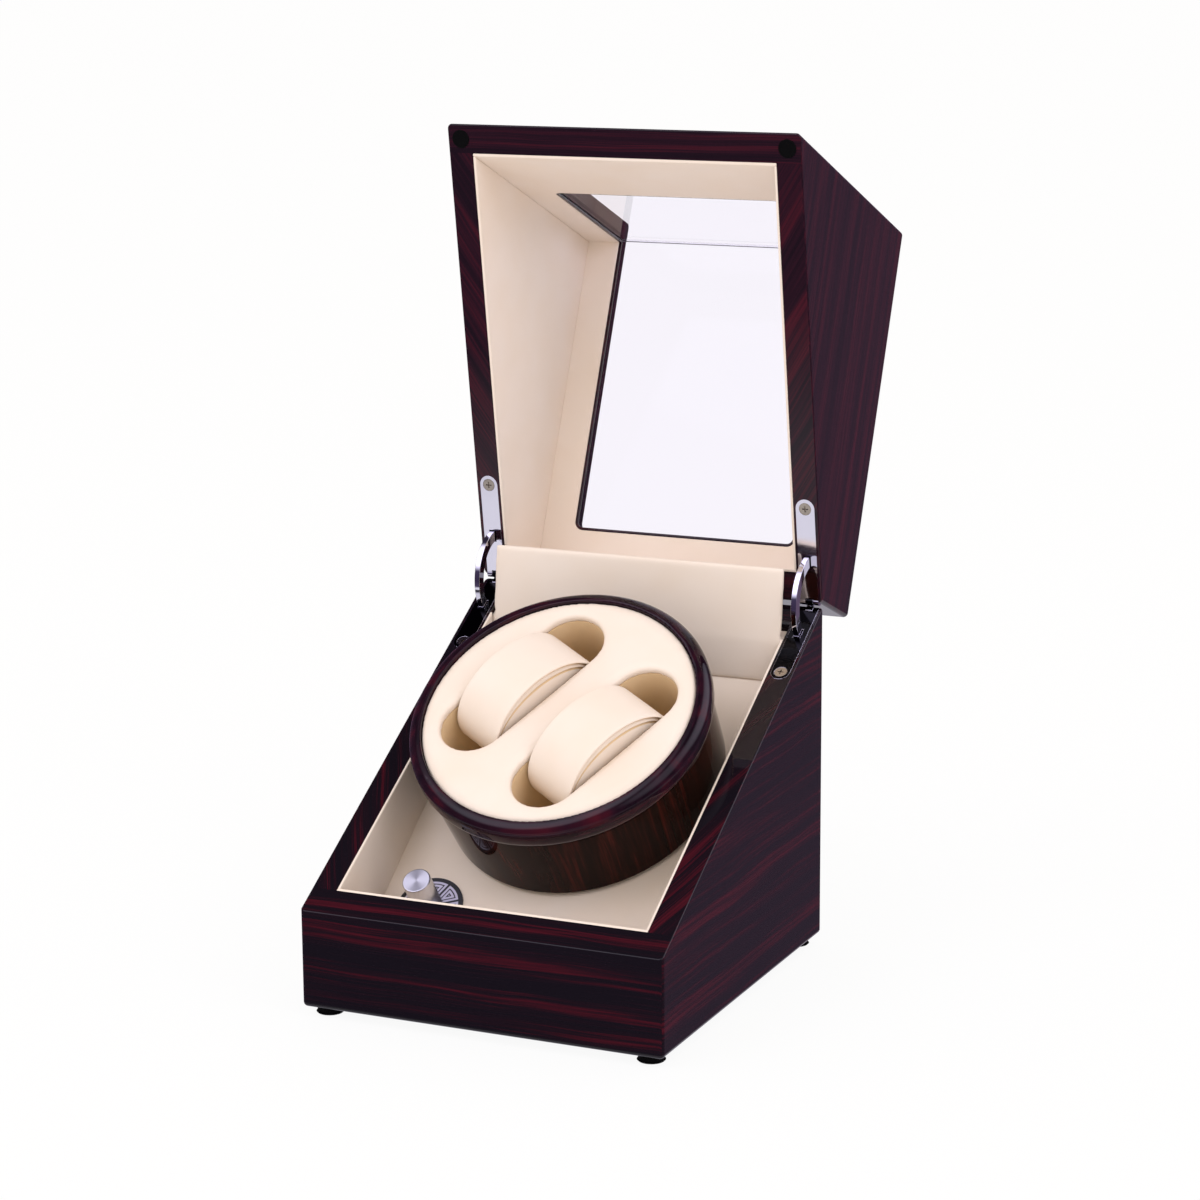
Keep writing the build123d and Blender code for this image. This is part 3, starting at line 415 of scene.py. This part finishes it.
def acrylic():
    """Cast acrylic sheet, polished and bloomed like a lens: clear with a trace of lavender and hardly a
    reflection, and light passes to the lining. The bloom is why its IOR is lower than bare acrylic's."""
    tint = linear("#f8f5fd")
    made, tree, shader = finish_of(
        "clear_acrylic",
        {"Base Color": tint, "Roughness": 0.0, "IOR": 1.12, "Transmission Weight": 1.0},
    )
    path = add(tree, "LightPath")
    clear = add(tree, "BsdfTransparent", {"Color": tint})
    mixed = add(
        tree,
        "MixShader",
        {0: path.outputs["Is Shadow Ray"], 1: shader.outputs["BSDF"], 2: clear.outputs["BSDF"]},
    )
    output = next(node for node in tree.nodes if node.type == "OUTPUT_MATERIAL")
    tree.links.new(mixed.outputs[0], output.inputs["Surface"])
    return made


def plated(name, colour, roughness):
    """Nickel-chrome plating on polished steel: a mirror with faint handling haze that breaks its edges."""
    made, tree, shader = finish_of(name, {"Metallic": 1.0, "Base Color": linear(colour)})
    coordinates = add(tree, "TexCoord").outputs["Object"]
    haze = add(tree, "TexNoise", {"Vector": coordinates, "Scale": 1 / (3 * mm), "Detail": 3.0})
    spread = {"To Min": roughness * 0.6, "To Max": roughness * 1.6}
    rough = add(tree, "MapRange", {"Value": haze.outputs["Fac"], **spread})
    link(tree, rough.outputs[0], shader, "Roughness")
    return made


def turned_metal(name, colour, place):
    """Metal turned on a lathe: fine rings round the axis fan the highlight into bright and dark sectors."""
    made, tree, shader = finish_of(
        name,
        {"Metallic": 1.0, "Base Color": linear(colour), "Roughness": 0.3, "Anisotropic": 0.85},
    )
    own = own_place(tree, place)
    flat = add(tree, "VectorMath", {0: own, 1: (1, 1, 0)}, operation="MULTIPLY").outputs[0]
    radius = add(tree, "VectorMath", {0: flat}, operation="LENGTH").outputs["Value"]
    # Real tool marks are about 0.05 mm apart, drawn at 0.25 mm so that they show
    marks = add(tree, "Math", {0: radius, 1: 1 / (0.25 * mm)}, operation="MULTIPLY").outputs[0]
    rings = add(tree, "TexNoise", {"W": marks, "Scale": 1.0}, noise_dimensions="1D")
    bump = add(tree, "Bump", {"Height": rings.outputs["Fac"], "Strength": 0.15, "Distance": 0.02 * mm})
    link(tree, bump.outputs["Normal"], shader, "Normal")
    axis = place.to_3x3().col[2]
    spot = add(tree, "TexCoord").outputs["Object"]
    arm = add(tree, "VectorMath", {0: spot, 1: place.translation}, operation="SUBTRACT").outputs[0]
    round_it = add(tree, "VectorMath", {0: arm, 1: axis}, operation="CROSS_PRODUCT").outputs[0]
    turned = add(
        tree,
        "VectorTransform",
        {0: round_it},
        vector_type="VECTOR",
        convert_from="OBJECT",
        convert_to="WORLD",
    )
    link(tree, turned.outputs[0], shader, "Tangent")
    return made


def moulded(name, shades, roughness, grain, depth):
    """Moulded rubber or plastic: a spark-eroded mould leaves a fine even grain that dulls the highlight.
    grain and depth are the size and height of its specks."""
    made, tree, shader = finish_of(name, {"Roughness": roughness, "Specular IOR Level": 0.12})
    coordinates = add(tree, "TexCoord").outputs["Object"]
    speck = add(tree, "TexNoise", {"Vector": coordinates, "Scale": 1 / grain, "Detail": 2.0})
    tone = add(tree, "ValToRGB", {"Fac": speck.outputs["Fac"]}, stops=((0.35, shades[0]), (0.65, shades[1])))
    link(tree, tone.outputs["Color"], shader, "Base Color")
    bump = add(tree, "Bump", {"Height": speck.outputs["Fac"], "Strength": 0.3, "Distance": depth})
    link(tree, bump.outputs["Normal"], shader, "Normal")
    return made


def dial_print():
    """Printed aluminium dial: silver sectors between black spokes, a black rim and nested marks in each
    sector. The ink is flat and dark beside the bare metal's soft sheen."""
    sectors = 8
    rim_width, border = 1.4 * mm, 0.3 * mm
    # Lines nest inside each sector at an even pitch, this share of it black
    pitch, black_share = 1.5 * mm, 0.34
    made, tree, shader = finish_of("dial_print", {"Roughness": 0.3, "Specular IOR Level": 0.5})
    sector_edge = extent("dial_plate", knob_place)[1].x - rim_width
    own = add(tree, "SeparateXYZ", {"Vector": own_place(tree, knob_place)})
    flat = add(tree, "CombineXYZ", {"X": own.outputs["X"], "Y": own.outputs["Y"]}).outputs[0]
    radius = add(tree, "VectorMath", {0: flat}, operation="LENGTH").outputs["Value"]
    angle = add(tree, "Math", {0: own.outputs["Y"], 1: own.outputs["X"]}, operation="ARCTAN2").outputs[0]
    per_turn = sectors / (2 * math.pi)
    count = add(tree, "Math", {0: angle, 1: per_turn, 2: 0.5 + sectors}, operation="MULTIPLY_ADD").outputs[0]
    part = add(tree, "Math", {0: count}, operation="FRACT").outputs[0]
    from_middle = add(tree, "Math", {0: part, 1: 0.5}, operation="SUBTRACT").outputs[0]
    sideways = add(tree, "Math", {0: from_middle}, operation="ABSOLUTE").outputs[0]
    arc = add(tree, "Math", {0: radius, 1: 1 / per_turn}, operation="MULTIPLY").outputs[0]
    off_middle = add(tree, "Math", {0: sideways, 1: arc}, operation="MULTIPLY").outputs[0]
    half_sector = add(tree, "Math", {0: arc, 1: 0.5}, operation="MULTIPLY").outputs[0]
    to_spoke = add(tree, "Math", {0: half_sector, 1: off_middle}, operation="SUBTRACT").outputs[0]
    to_rim = add(tree, "Math", {0: sector_edge, 1: radius}, operation="SUBTRACT").outputs[0]
    inward = add(tree, "Math", {0: to_spoke, 1: to_rim}, operation="MINIMUM").outputs[0]
    steps = add(tree, "Math", {0: inward, 1: 1 / pitch}, operation="MULTIPLY").outputs[0]
    ripple = add(tree, "Math", {0: steps}, operation="FRACT").outputs[0]
    nested = add(tree, "Math", {0: ripple, 1: black_share}, operation="LESS_THAN").outputs[0]
    outline = add(tree, "Math", {0: inward, 1: border}, operation="LESS_THAN").outputs[0]
    line = add(tree, "Math", {0: nested, 1: outline}, operation="MAXIMUM").outputs[0]
    silver, black = linear("#c9c6d3"), linear("#121116")
    printed = add(tree, "Mix", {0: line, 6: silver, 7: black}, data_type="RGBA").outputs[2]
    link(tree, printed, shader, "Base Color")
    metal = add(tree, "Math", {0: 0.85, 1: line}, operation="SUBTRACT", use_clamp=True).outputs[0]
    link(tree, metal, shader, "Metallic")
    return made


def solder_mask():
    """A circuit board: glossy green mask that lies over copper tracks and shows them as paler lines."""
    made, tree, shader = finish_of("circuit_green", {"Roughness": 0.3})
    coordinates = add(tree, "TexCoord").outputs["Object"]
    tracks = add(
        tree,
        "TexBrick",
        {
            "Vector": coordinates,
            "Scale": 1 / (6 * mm),
            "Mortar Size": 0.04,
            "Color1": linear("#0d4a2a"),
            "Color2": linear("#0f5230"),
            "Mortar": linear("#2c7a4c"),
        },
    )
    link(tree, tracks.outputs["Color"], shader, "Base Color")
    return made


lacquer_base = lacquered("lacquer_base", case_grain, base_tones, 1.9)
lacquer_lid = lacquered("lacquer_lid", lambda tree: case_grain(tree, lid_shut), lid_tones, 2.8)
lacquer_drum = lacquered("lacquer_drum", drum_grain, drum_tones, 1.0, 1.15)
lacquer_ring = lacquered("lacquer_ring", ring_grain, ring_tones, 1.6, 1.33)
cream = leatherette("cream_leatherette", "#f0e2d3", "#f2e6da")
# The drum's wells and the cushions' folds are in a darker, yellower cream: painted shade for the shadow that
# gathers in them
painted_shade_cream = leatherette("painted_shade_leatherette", "#e8cda3", "#ebd1aa")
clear = acrylic()
chrome = plated("chrome", "#dedce6", 0.06)
# Chrome painted nearly black: a painted dark reflection on the base plates' faces, whose eased edges stay bright
# chrome
painted_dark_chrome = plated("painted_dark_reflection_chrome", "#18171b", 0.07)
bright = plated("bright_screws", "#b5ab9c", 0.14)
knob_metal = turned_metal("knob_aluminium", "#dcdde2", knob_place)
steel = turned_metal("turned_steel", "#b9bac0", drum_place)
brass = turned_metal("bush_brass", "#c9a15a", drum_place)
can_metal = plated("motor_can", "#b5b4b2", 0.3)
dial_face = dial_print()
seam_grey = moulded("seam_grey", ("#5d5b66", "#66646f"), 0.5, 0.3 * mm, 0.01 * mm)
rubber = moulded("black_rubber", ("#030303", "#060606"), 0.7, 0.3 * mm, 0.03 * mm)
plastic = moulded("black_plastic", ("#141415", "#1b1b1d"), 0.4, 0.2 * mm, 0.01 * mm)
board_black = moulded("panel_board", ("#17130f", "#231d18"), 0.7, 1.2 * mm, 0.05 * mm)
green = solder_mask()
red = moulded("lead_red", ("#8f1416", "#9c1a1b"), 0.35, 1.5 * mm, 0.01 * mm)

# What each node is finished in, by the record's slot, with the lacquered pieces told apart
slot_finish = {
    "cream_leatherette": cream,
    "clear_acrylic": clear,
    "black_rubber": rubber,
    "chrome": chrome,
    "bright_screws": bright,
    "turned_steel": steel,
    "knob_aluminium": knob_metal,
    "dial_print": dial_face,
    "panel_board": board_black,
    "black_plastic": plastic,
    "bush_brass": brass,
    "motor_can": can_metal,
    "circuit_green": green,
    "lead_red": red,
}
node_finish = {
    "base_case": lacquer_base,
    "lid_case": lacquer_lid,
    "drum_shell": lacquer_drum,
    "drum_ring": lacquer_ring,
    # The pockets take the darker cream as painted shade
    "pocket_left": painted_shade_cream,
    "pocket_right": painted_shade_cream,
}
for part in frame["record"]["subparts"]:
    node = frame["nodes"][part["node"]]
    node.data.materials.clear()
    node.data.materials.append(node_finish.get(part["node"]) or slot_finish[part["material_slot"]])


# Watch cushions

# The side of a cushion as rings, in millimetres: how far each lies in from the band at the cushion's ends and
# at its crown, and how deep. The band's lip stands over a crease, then come a fold, a crease and the side.
side_rings = (
    (0.3, 0.4, 0.0),
    (0.4, 0.6, 2.2),
    (0.7, 1.5, 3.2),
    (0.9, 2.2, 1.6),
    (1.2, 3.1, 0.9),
    (1.5, 4.3, 1.0),
    (1.6, 4.6, 2.5),
    (1.8, 5.1, 3.0),
    (2.1, 5.7, 1.7),
    (3.6, 7.8, 1.1),
    (10, 12, 0.7),
    (20, 17, 0.5),
)


def cushion(side):
    """An oval band of leatherette round a foam core, blown up a little, with both sides folded in."""
    node = "cushion_" + side
    low, high = extent(node, slot_place)
    size = high - low
    # The band starts a little smaller, because it swells. Its lip is rounded.
    slack, swell, lip = 1.0 * mm, 0.5 * mm, 0.7 * mm
    long, wide, tall = (size.x - slack) / 2, (size.y - slack) / 2, (size.z - slack) / 2
    piece = start(
        "watch_" + node,
        bpy.ops.mesh.primitive_cylinder_add,
        vertices=96,
        radius=1.0,
        depth=2.0,
        end_fill_type="NGON",
        rotation=(math.pi / 2, 0, 0),
    )
    bpy.ops.object.mode_set(mode="OBJECT")
    piece.scale = (long, tall, wide)
    bpy.ops.object.transform_apply(location=False, rotation=True, scale=True)
    bpy.ops.object.mode_set(mode="EDIT")
    pick(piece, "EDGE", lambda edge: abs(edge.verts[0].co.y - edge.verts[1].co.y) > wide)
    bpy.ops.mesh.subdivide(number_cuts=13)
    bpy.ops.object.mode_set(mode="OBJECT")
    puff(piece, 4.0, swell, lambda point: abs(point.y) > wide * 0.99)
    bpy.ops.object.mode_set(mode="EDIT")
    for way in (-1, 1):
        pick(piece, "FACE", lambda face: face.normal.y * way > 0.9 and len(face.verts) > 4)
        bpy.ops.mesh.bevel(offset=lip, segments=3, affect="EDGES", profile=0.5)
        was_long, was_tall, was_deep = long - lip, tall - lip, 0
        pick(piece, "FACE", lambda face: face.normal.y * way > 0.9 and len(face.verts) > 4)
        for at_ends, at_crown, deep in side_rings:
            now_long, now_tall = long - lip - at_ends * mm, tall - lip - at_crown * mm
            shrink = (now_long / was_long, 1, now_tall / was_tall)
            bpy.ops.mesh.extrude_region_move()
            bpy.ops.transform.resize(value=shrink, center_override=(0, 0, 0))
            bpy.ops.transform.translate(value=(0, way * (was_deep - deep * mm), 0))
            was_long, was_tall, was_deep = now_long, now_tall, deep * mm
    bpy.ops.object.mode_set(mode="OBJECT")
    modify(piece, "SUBSURF", levels=1, render_levels=1)
    # Inside the band and past this depth lie the folds, whose faces take the darker cream as painted shade
    inside_band, fold_depth = 0.97, 1.9 * mm
    folds = []
    for face in piece.data.polygons:
        out = math.hypot(face.center.x / long, face.center.z / tall)
        if out < inside_band and abs(face.center.y) < wide - fold_depth:
            folds.append(face.index)
    place = slot_place @ Matrix.Translation((low + high) / 2)
    settle(piece, place, side + "_cushion", cream, [node], None)
    second_finish(piece, painted_shade_cream, folds)


for side in ("left", "right"):
    cushion(side)

# Crisp pieces with eased edges

# Edges that turn by more than this are sharp
sharp_turn = math.radians(40)


def eased(node, name, body, finish, ease, edge_finish=None):
    """A node's own shape with its sharp edges broken, so that they catch the light as the real ones do. The
    broken edges may have a finish of their own."""
    piece = start_copy(name, node)
    bpy.ops.object.mode_set(mode="OBJECT")
    piece.data.materials.clear()
    for coat in (finish, edge_finish or finish):
        piece.data.materials.append(coat)
    modify(
        piece,
        "BEVEL",
        width=ease,
        segments=3,
        limit_method="ANGLE",
        angle_limit=sharp_turn,
        material=1,
    )
    edges = [face.index for face in piece.data.polygons if face.material_index == 1]
    settle(piece, Matrix.Identity(4), body, finish, [node])
    if edge_finish:
        second_finish(piece, edge_finish, edges)
    # Flat faces stay flat in the light, and only the eased edges turn
    modify(piece, "WEIGHTED_NORMAL", weight=50, keep_sharp=True)


for side in ("left", "right"):
    node = "hinge_base_plate_" + side
    # The base plates' faces take the nearly black chrome as a painted dark reflection, and their eased edges the
    # bright chrome
    eased(node, "eased_" + node, "base", painted_dark_chrome, 0.35 * mm, edge_finish=chrome)
    node = "hinge_lid_plate_" + side
    eased(node, "eased_" + node, "lid", chrome, 0.18 * mm)
    node = "quadrant_arm_" + side
    eased(node, "eased_" + node, side + "_arm", chrome, 0.2 * mm)


def feet():
    """The rubber feet, with their lower edges well rounded."""
    piece = start_copy("rounded_feet", "feet")
    low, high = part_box("feet")
    radius = 5.3 * mm
    corner = Vector((high.x - radius, (high.y - low.y) / 2 - radius))
    middle = (low.y + high.y) / 2

    def lower_rim(edge):
        """Whether an edge lies at the table and out on a foot's rim, and not round its screw's recess."""
        spots = [(abs(v.co.x) - corner.x, abs(v.co.y - middle) - corner.y) for v in edge.verts]
        at_table = all(v.co.z < 0.1 * mm for v in edge.verts)
        return at_table and all(math.hypot(*spot) > 0.9 * radius for spot in spots)

    pick(piece, "EDGE", lower_rim)
    bpy.ops.mesh.bevel(offset=1.4 * mm, segments=5, affect="EDGES", profile=0.5)
    bpy.ops.object.mode_set(mode="OBJECT")
    settle(piece, Matrix.Identity(4), "base", rubber, ["feet"])


feet()

# The seam runs between the beads' inner edges
seam_half = 54 * mm


def window_bead(name, pane, lining, right, along, inward):
    """A narrow bead of dark wood that frames one pane inside the lining's opening. It is open towards the
    seam, where the two panes meet, and has rounded corners at the far end. The directions are those of the
    shut lid."""
    width, depth, corner = 1.3 * mm, 0.9 * mm, 4 * mm
    turn = Matrix((right, along, inward)).transposed().to_4x4()
    place = lid_shut.inverted() @ turn
    low, high = extent(pane, place)
    back = place.inverted()
    points = [back @ vertex.co for vertex in frame["nodes"][lining].data.vertices]
    half = max(abs(point.x) for point in points if abs(point.x) < high.x - 1 * mm)
    far = max(point.y for point in points if abs(point.x) < half + 0.1 * mm and point.y < high.y)
    near = low.y
    piece = start(name, bpy.ops.mesh.primitive_plane_add, size=2.0)
    bpy.ops.mesh.select_all(action="SELECT")
    bpy.ops.transform.resize(value=(half, (far - near) / 2, 1))
    bpy.ops.transform.translate(value=(0, (far + near) / 2, high.z))
    shape = bmesh.from_edit_mesh(piece.data)
    bpy.ops.mesh.select_mode(type="VERT")
    bpy.ops.mesh.select_all(action="DESELECT")
    for vertex in shape.verts:
        vertex.select_set(vertex.co.y > far - 1 * mm)
    bmesh.update_edit_mesh(piece.data)
    bpy.ops.mesh.bevel(offset=corner, segments=6, affect="VERTICES")
    bpy.ops.mesh.select_all(action="SELECT")
    bpy.ops.mesh.inset(thickness=width, depth=0)
    bpy.ops.mesh.delete(type="FACE")
    pick(piece, "FACE", lambda face: face.calc_center_median().y < near + width)
    bpy.ops.mesh.delete(type="FACE")
    bpy.ops.object.mode_set(mode="OBJECT")
    modify(piece, "SOLIDIFY", thickness=depth, offset=1)
    modify(piece, "BEVEL", width=0.15 * mm, segments=2, limit_method="ANGLE", angle_limit=sharp_turn)
    settle(piece, place, "lid", lacquer_lid)


def window_seam():
    """A line of dark glue in the inner corner where the two panes meet."""
    place = lid_shut.inverted()
    height = extent("top_pane", place)[0].z
    depth = extent("front_pane", place)[1].y
    thick = 0.4 * mm
    piece = start("window_seam", bpy.ops.mesh.primitive_cube_add, size=1.0)
    bpy.ops.mesh.select_all(action="SELECT")
    bpy.ops.transform.resize(value=(2 * seam_half, thick, thick))
    bpy.ops.transform.translate(value=(0, depth, height))
    bpy.ops.mesh.bevel(offset=0.1 * mm, segments=2, affect="EDGES")
    bpy.ops.object.mode_set(mode="OBJECT")
    settle(piece, place, "lid", seam_grey)


window_seam()
window_bead("window_bead_top", "top_pane", "lid_lining_top", (-1, 0, 0), (0, 1, 0), (0, 0, -1))
window_bead("window_bead_front", "front_pane", "lid_lining_front", (1, 0, 0), (0, 0, -1), (0, 1, 0))

# Boards wrapped in leatherette: the wrap rounds their edges
board_edge = 0.45 * mm
for side in ("front", "left", "right"):
    node = "base_lining_" + side
    eased(node, "wrapped_" + node, "base", cream, board_edge)
for side in ("front", "rear", "top", "left", "right"):
    node = "lid_lining_" + side
    eased(node, "wrapped_" + node, "lid", cream, board_edge)

# Padded pieces and the ring round them, made from their own solids

# The wrapped insert reaches this much further out than its bare board, and the ring's inner edge makes room
disc_reach = 1.2 * mm
# How far the rear panel's padding leans back, rises and swells at its top
panel_lean = 1.5 * mm
panel_lift = 1.4 * mm
panel_swell = 0.7 * mm


def ring():
    """The drum's bullnose ring, turned from wood, with its inner edge opened for the wrapped insert."""
    inner_edge = extent("insert_disc", drum_place)[1].x + 1 * mm
    piece = start_copy("turned_ring", "drum_ring")
    bpy.ops.object.mode_set(mode="OBJECT")
    piece.data.transform(drum_place.inverted())
    for vertex in piece.data.vertices:
        out = math.hypot(vertex.co.x, vertex.co.y)
        if out < inner_edge:
            vertex.co.x *= 1 + disc_reach / out
            vertex.co.y *= 1 + disc_reach / out
    settle(piece, drum_place, "drum", lacquer_ring, ["drum_ring"])


def disc():
    """The insert: a foam-topped board wrapped in leatherette, which swells a little inside its rim."""
    high = extent("insert_disc", drum_place)[1]
    # How thick the foam is, how much it swells, and how wide the band is in which the wrap spreads outwards
    foam, swell, band = 1.1 * mm, 0.5 * mm, 4 * mm
    piece = start_copy("padded_disc", "insert_disc")
    bpy.ops.object.mode_set(mode="OBJECT")
    piece.data.transform(drum_place.inverted())
    modify(piece, "REMESH", mode="VOXEL", voxel_size=0.8 * mm)
    puff(piece, 4.0, swell, lambda point: point.z < high.z - foam)
    modify(piece, "SMOOTH", factor=0.5, iterations=2)
    fixed = high.x - band
    for vertex in piece.data.vertices:
        out = math.hypot(vertex.co.x, vertex.co.y)
        if out > fixed:
            share = disc_reach * (out - fixed) / (high.x - fixed) / out
            vertex.co.x *= 1 + share
            vertex.co.y *= 1 + share
    settle(piece, drum_place, "drum", cream, ["insert_disc"], None)


def panel():
    """The rear panel: a thin board padded with foam and wrapped, so its bend and its edges are soft. Above
    its bend the padding leans back, swells a little to both sides and stands up against the lid's lining."""
    low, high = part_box("rear_panel")
    piece = start_copy("padded_rear_panel", "rear_panel")
    bpy.ops.object.mode_set(mode="OBJECT")
    points = [vertex.co for vertex in piece.data.vertices]
    # Half its width near the top, and the height of the bend, above which it stands back from its lower face
    half = max(abs(point.x) for point in points if point.z > high.z - 5 * mm)
    bend = min(point.z for point in points if point.z > low.z + 18 * mm and point.y > low.y + 2 * mm)
    modify(piece, "REMESH", mode="VOXEL", voxel_size=0.9 * mm)
    modify(piece, "SMOOTH", factor=0.5, iterations=8)
    # It has its full swell this share of the way up
    full_swell = 1 / 8
    for vertex in piece.data.vertices:
        rise = (vertex.co.z - bend) / (high.z - bend)
        if rise > 0:
            vertex.co.y += panel_lean * rise
            vertex.co.z += panel_lift * rise * rise
            if abs(vertex.co.x) < half + 0.2 * mm:
                vertex.co.x *= 1 + panel_swell / half * min(1, rise / full_swell)
    settle(piece, Matrix.Identity(4), "base", cream, ["rear_panel"], None)


ring()
disc()
panel()

# Floor, light and camera


def stage_finish(name, colour, glow):
    """A stage surface: it shows the camera a flat glow, and takes the object's shadow over the rest."""
    made = bpy.data.materials.new(name)
    made.use_nodes = True
    tree = made.node_tree
    tree.nodes.clear()
    path = add(tree, "LightPath")
    plain = add(tree, "BsdfDiffuse", {"Color": linear(colour)})
    shown = add(tree, "Emission", {"Color": (1, 1, 1, 1), "Strength": 1.0})
    camera_part = add(tree, "MixShader", {0: glow, 1: plain.outputs[0], 2: shown.outputs[0]})
    seen = add(
        tree,
        "Math",
        {0: path.outputs["Is Camera Ray"], 1: path.outputs["Is Transmission Ray"]},
        operation="MAXIMUM",
    )
    mixed = add(tree, "MixShader", {0: seen.outputs[0], 1: plain.outputs[0], 2: camera_part.outputs[0]})
    add(tree, "OutputMaterial", {"Surface": mixed.outputs[0]})
    return made


def pale_floor():
    """A wide white floor that keeps the object's shadow."""
    floor = start("floor", bpy.ops.mesh.primitive_circle_add, vertices=96, radius=12.0, fill_type="NGON")
    bpy.ops.object.mode_set(mode="OBJECT")
    floor.data.materials.append(stage_finish("floor_white", "#f2f2f2", 0.93))
    floor.visible_glossy = False


def studio_world():
    """Soft warm light from all round, and plain white wherever the camera, a mirror or a clear pane looks."""
    world = bpy.data.worlds.new("studio")
    bpy.context.scene.world = world
    world.use_nodes = True
    tree = world.node_tree
    tree.nodes.clear()
    path = add(tree, "LightPath").outputs
    soft = add(tree, "Background", {"Color": linear("#fff6ee"), "Strength": 0.98})
    shown = add(tree, "Background", {"Color": linear("#ffffff"), "Strength": 1.0})
    direct = add(tree, "Math", {0: path["Is Camera Ray"], 1: path["Is Glossy Ray"]}, operation="MAXIMUM")
    seen = add(tree, "Math", {0: direct.outputs[0], 1: path["Is Transmission Ray"]}, operation="MAXIMUM")
    mixed = add(tree, "MixShader", {0: seen.outputs[0], 1: soft.outputs[0], 2: shown.outputs[0]})
    add(tree, "OutputWorld", {"Surface": mixed.outputs[0]})


pale_floor()
studio_world()

# Where the lamps stand
key_spot = Vector((-0.9, -1.6, 2.2))
fill_spot = Vector((1.8, -0.8, 1.4))
# Only mirrors see this one, which draws bright edges
edge_spot = Vector((1.3, 0.7, 1.4))


def tent():
    """A cloth tent round the table that only mirrors see: pale below, grey at the horizon and nearly dark
    above, with a soft glow where each lamp stands. It keeps the lacquer dark and gives the chrome something
    to show."""
    shape = start("tent", bpy.ops.mesh.primitive_uv_sphere_add, segments=48, ring_count=24, radius=6.0)
    bpy.ops.object.mode_set(mode="OBJECT")
    made = bpy.data.materials.new("tent_cloth")
    made.use_nodes = True
    tree = made.node_tree
    tree.nodes.clear()
    spot = add(tree, "TexCoord").outputs["Object"]
    way = add(tree, "VectorMath", {0: spot}, operation="NORMALIZE").outputs[0]
    parts = add(tree, "SeparateXYZ", {"Vector": way})
    share = add(tree, "MapRange", {"Value": parts.outputs["Z"], "From Min": -1.0}).outputs[0]
    # The share runs from 0 straight down to 1 straight up
    before = add(
        tree,
        "ValToRGB",
        {"Fac": share},
        stops=(
            (0.2, "#e8e6f0"),
            (0.235, "#2b2833"),
            (0.263, "#2b2833"),
            (0.273, "#f4f2fa"),
            (0.3, "#f4f2fa"),
            (0.325, "#544a63"),
            (0.43, "#3f354c"),
            (0.65, "#483f59"),
            (0.9, "#393245"),
        ),
    )
    behind = add(
        tree,
        "ValToRGB",
        {"Fac": share},
        stops=((0.27, "#d9d6e2"), (0.31, "#6b5a70"), (0.65, "#5e4f65"), (0.8, "#433a4e"), (0.94, "#2a2531")),
    )
    rear = add(tree, "MapRange", {"Value": parts.outputs["Y"], "From Min": -0.2, "From Max": 0.6}).outputs[0]
    sides = {0: rear, 6: before.outputs["Color"], 7: behind.outputs["Color"]}
    cloth = add(tree, "Mix", sides, data_type="RGBA").outputs[2]
    shine = add(tree, "Emission", {"Color": cloth, "Strength": 1.0}).outputs[0]
    for lamp_spot, strength in ((key_spot, 2.6), (fill_spot, 1.5), (edge_spot, 2.6)):
        aim = lamp_spot.normalized()
        near = add(tree, "VectorMath", {0: way, 1: aim}, operation="DOT_PRODUCT").outputs["Value"]
        # From the glow's edge to its even middle, as cosines of the angle off the lamp
        width = {"Value": near, "From Min": 0.8, "From Max": 0.98}
        glow = add(tree, "MapRange", width, interpolation_type="SMOOTHSTEP").outputs[0]
        lamp = add(tree, "Emission", {"Color": linear("#e9e4f8"), "Strength": strength}).outputs[0]
        shine = add(tree, "MixShader", {0: glow, 1: shine, 2: lamp}).outputs[0]
    add(tree, "OutputMaterial", {"Surface": shine})
    shape.data.materials.append(made)
    for kind in ("camera", "diffuse", "shadow", "transmission", "volume_scatter"):
        setattr(shape, "visible_" + kind, False)


tent()

# Daylight lamps, cooler than the cream
lamp_tint = (0.85, 0.85, 1.0)


def softbox(name, place, size, power):
    """A square softbox that points at the middle of the object."""
    aim = Vector((0, 0, 0.15))
    light = bpy.data.lights.new(name, "AREA")
    light.shape = "SQUARE"
    light.size = size
    light.energy = power
    light.color = lamp_tint
    lamp = bpy.data.objects.new(name, light)
    lamp.location = place
    lamp.rotation_euler = (aim - place).to_track_quat("-Z", "Y").to_euler()
    # Mirrors see the tent's glow in its place, which has no hard edge
    lamp.visible_glossy = False
    bpy.context.scene.collection.objects.link(lamp)


softbox("key", key_spot, 1.4, 16.6)
softbox("fill", fill_spot, 1.2, 9.5)


def photo_camera():
    """The camera at the photograph's angle, fitted to the corners of the case."""
    place = Vector((0.56177, -1.25178, 0.45465))
    look = Vector((-0.40399, 0.88921, -0.21472))
    rightwards = Vector((0.91101, 0.41234, -0.00645))
    # The focal length in pixels of the photograph, which is as wide as the sensor
    lens_pixels, image_pixels, sensor = 3309.4, 1200, 36
    view = bpy.data.cameras.new("camera")
    view.sensor_width = sensor
    view.lens = lens_pixels * sensor / image_pixels
    camera = bpy.data.objects.new("camera", view)
    bpy.context.scene.collection.objects.link(camera)
    back = -look.normalized()
    right = (rightwards - back * rightwards.dot(back)).normalized()
    turn = Matrix((right, back.cross(right), back)).transposed().to_4x4()
    camera.matrix_world = Matrix.Translation(place) @ turn
    bpy.context.scene.camera = camera


photo_camera()
bpy.context.scene.view_settings.view_transform = "Standard"
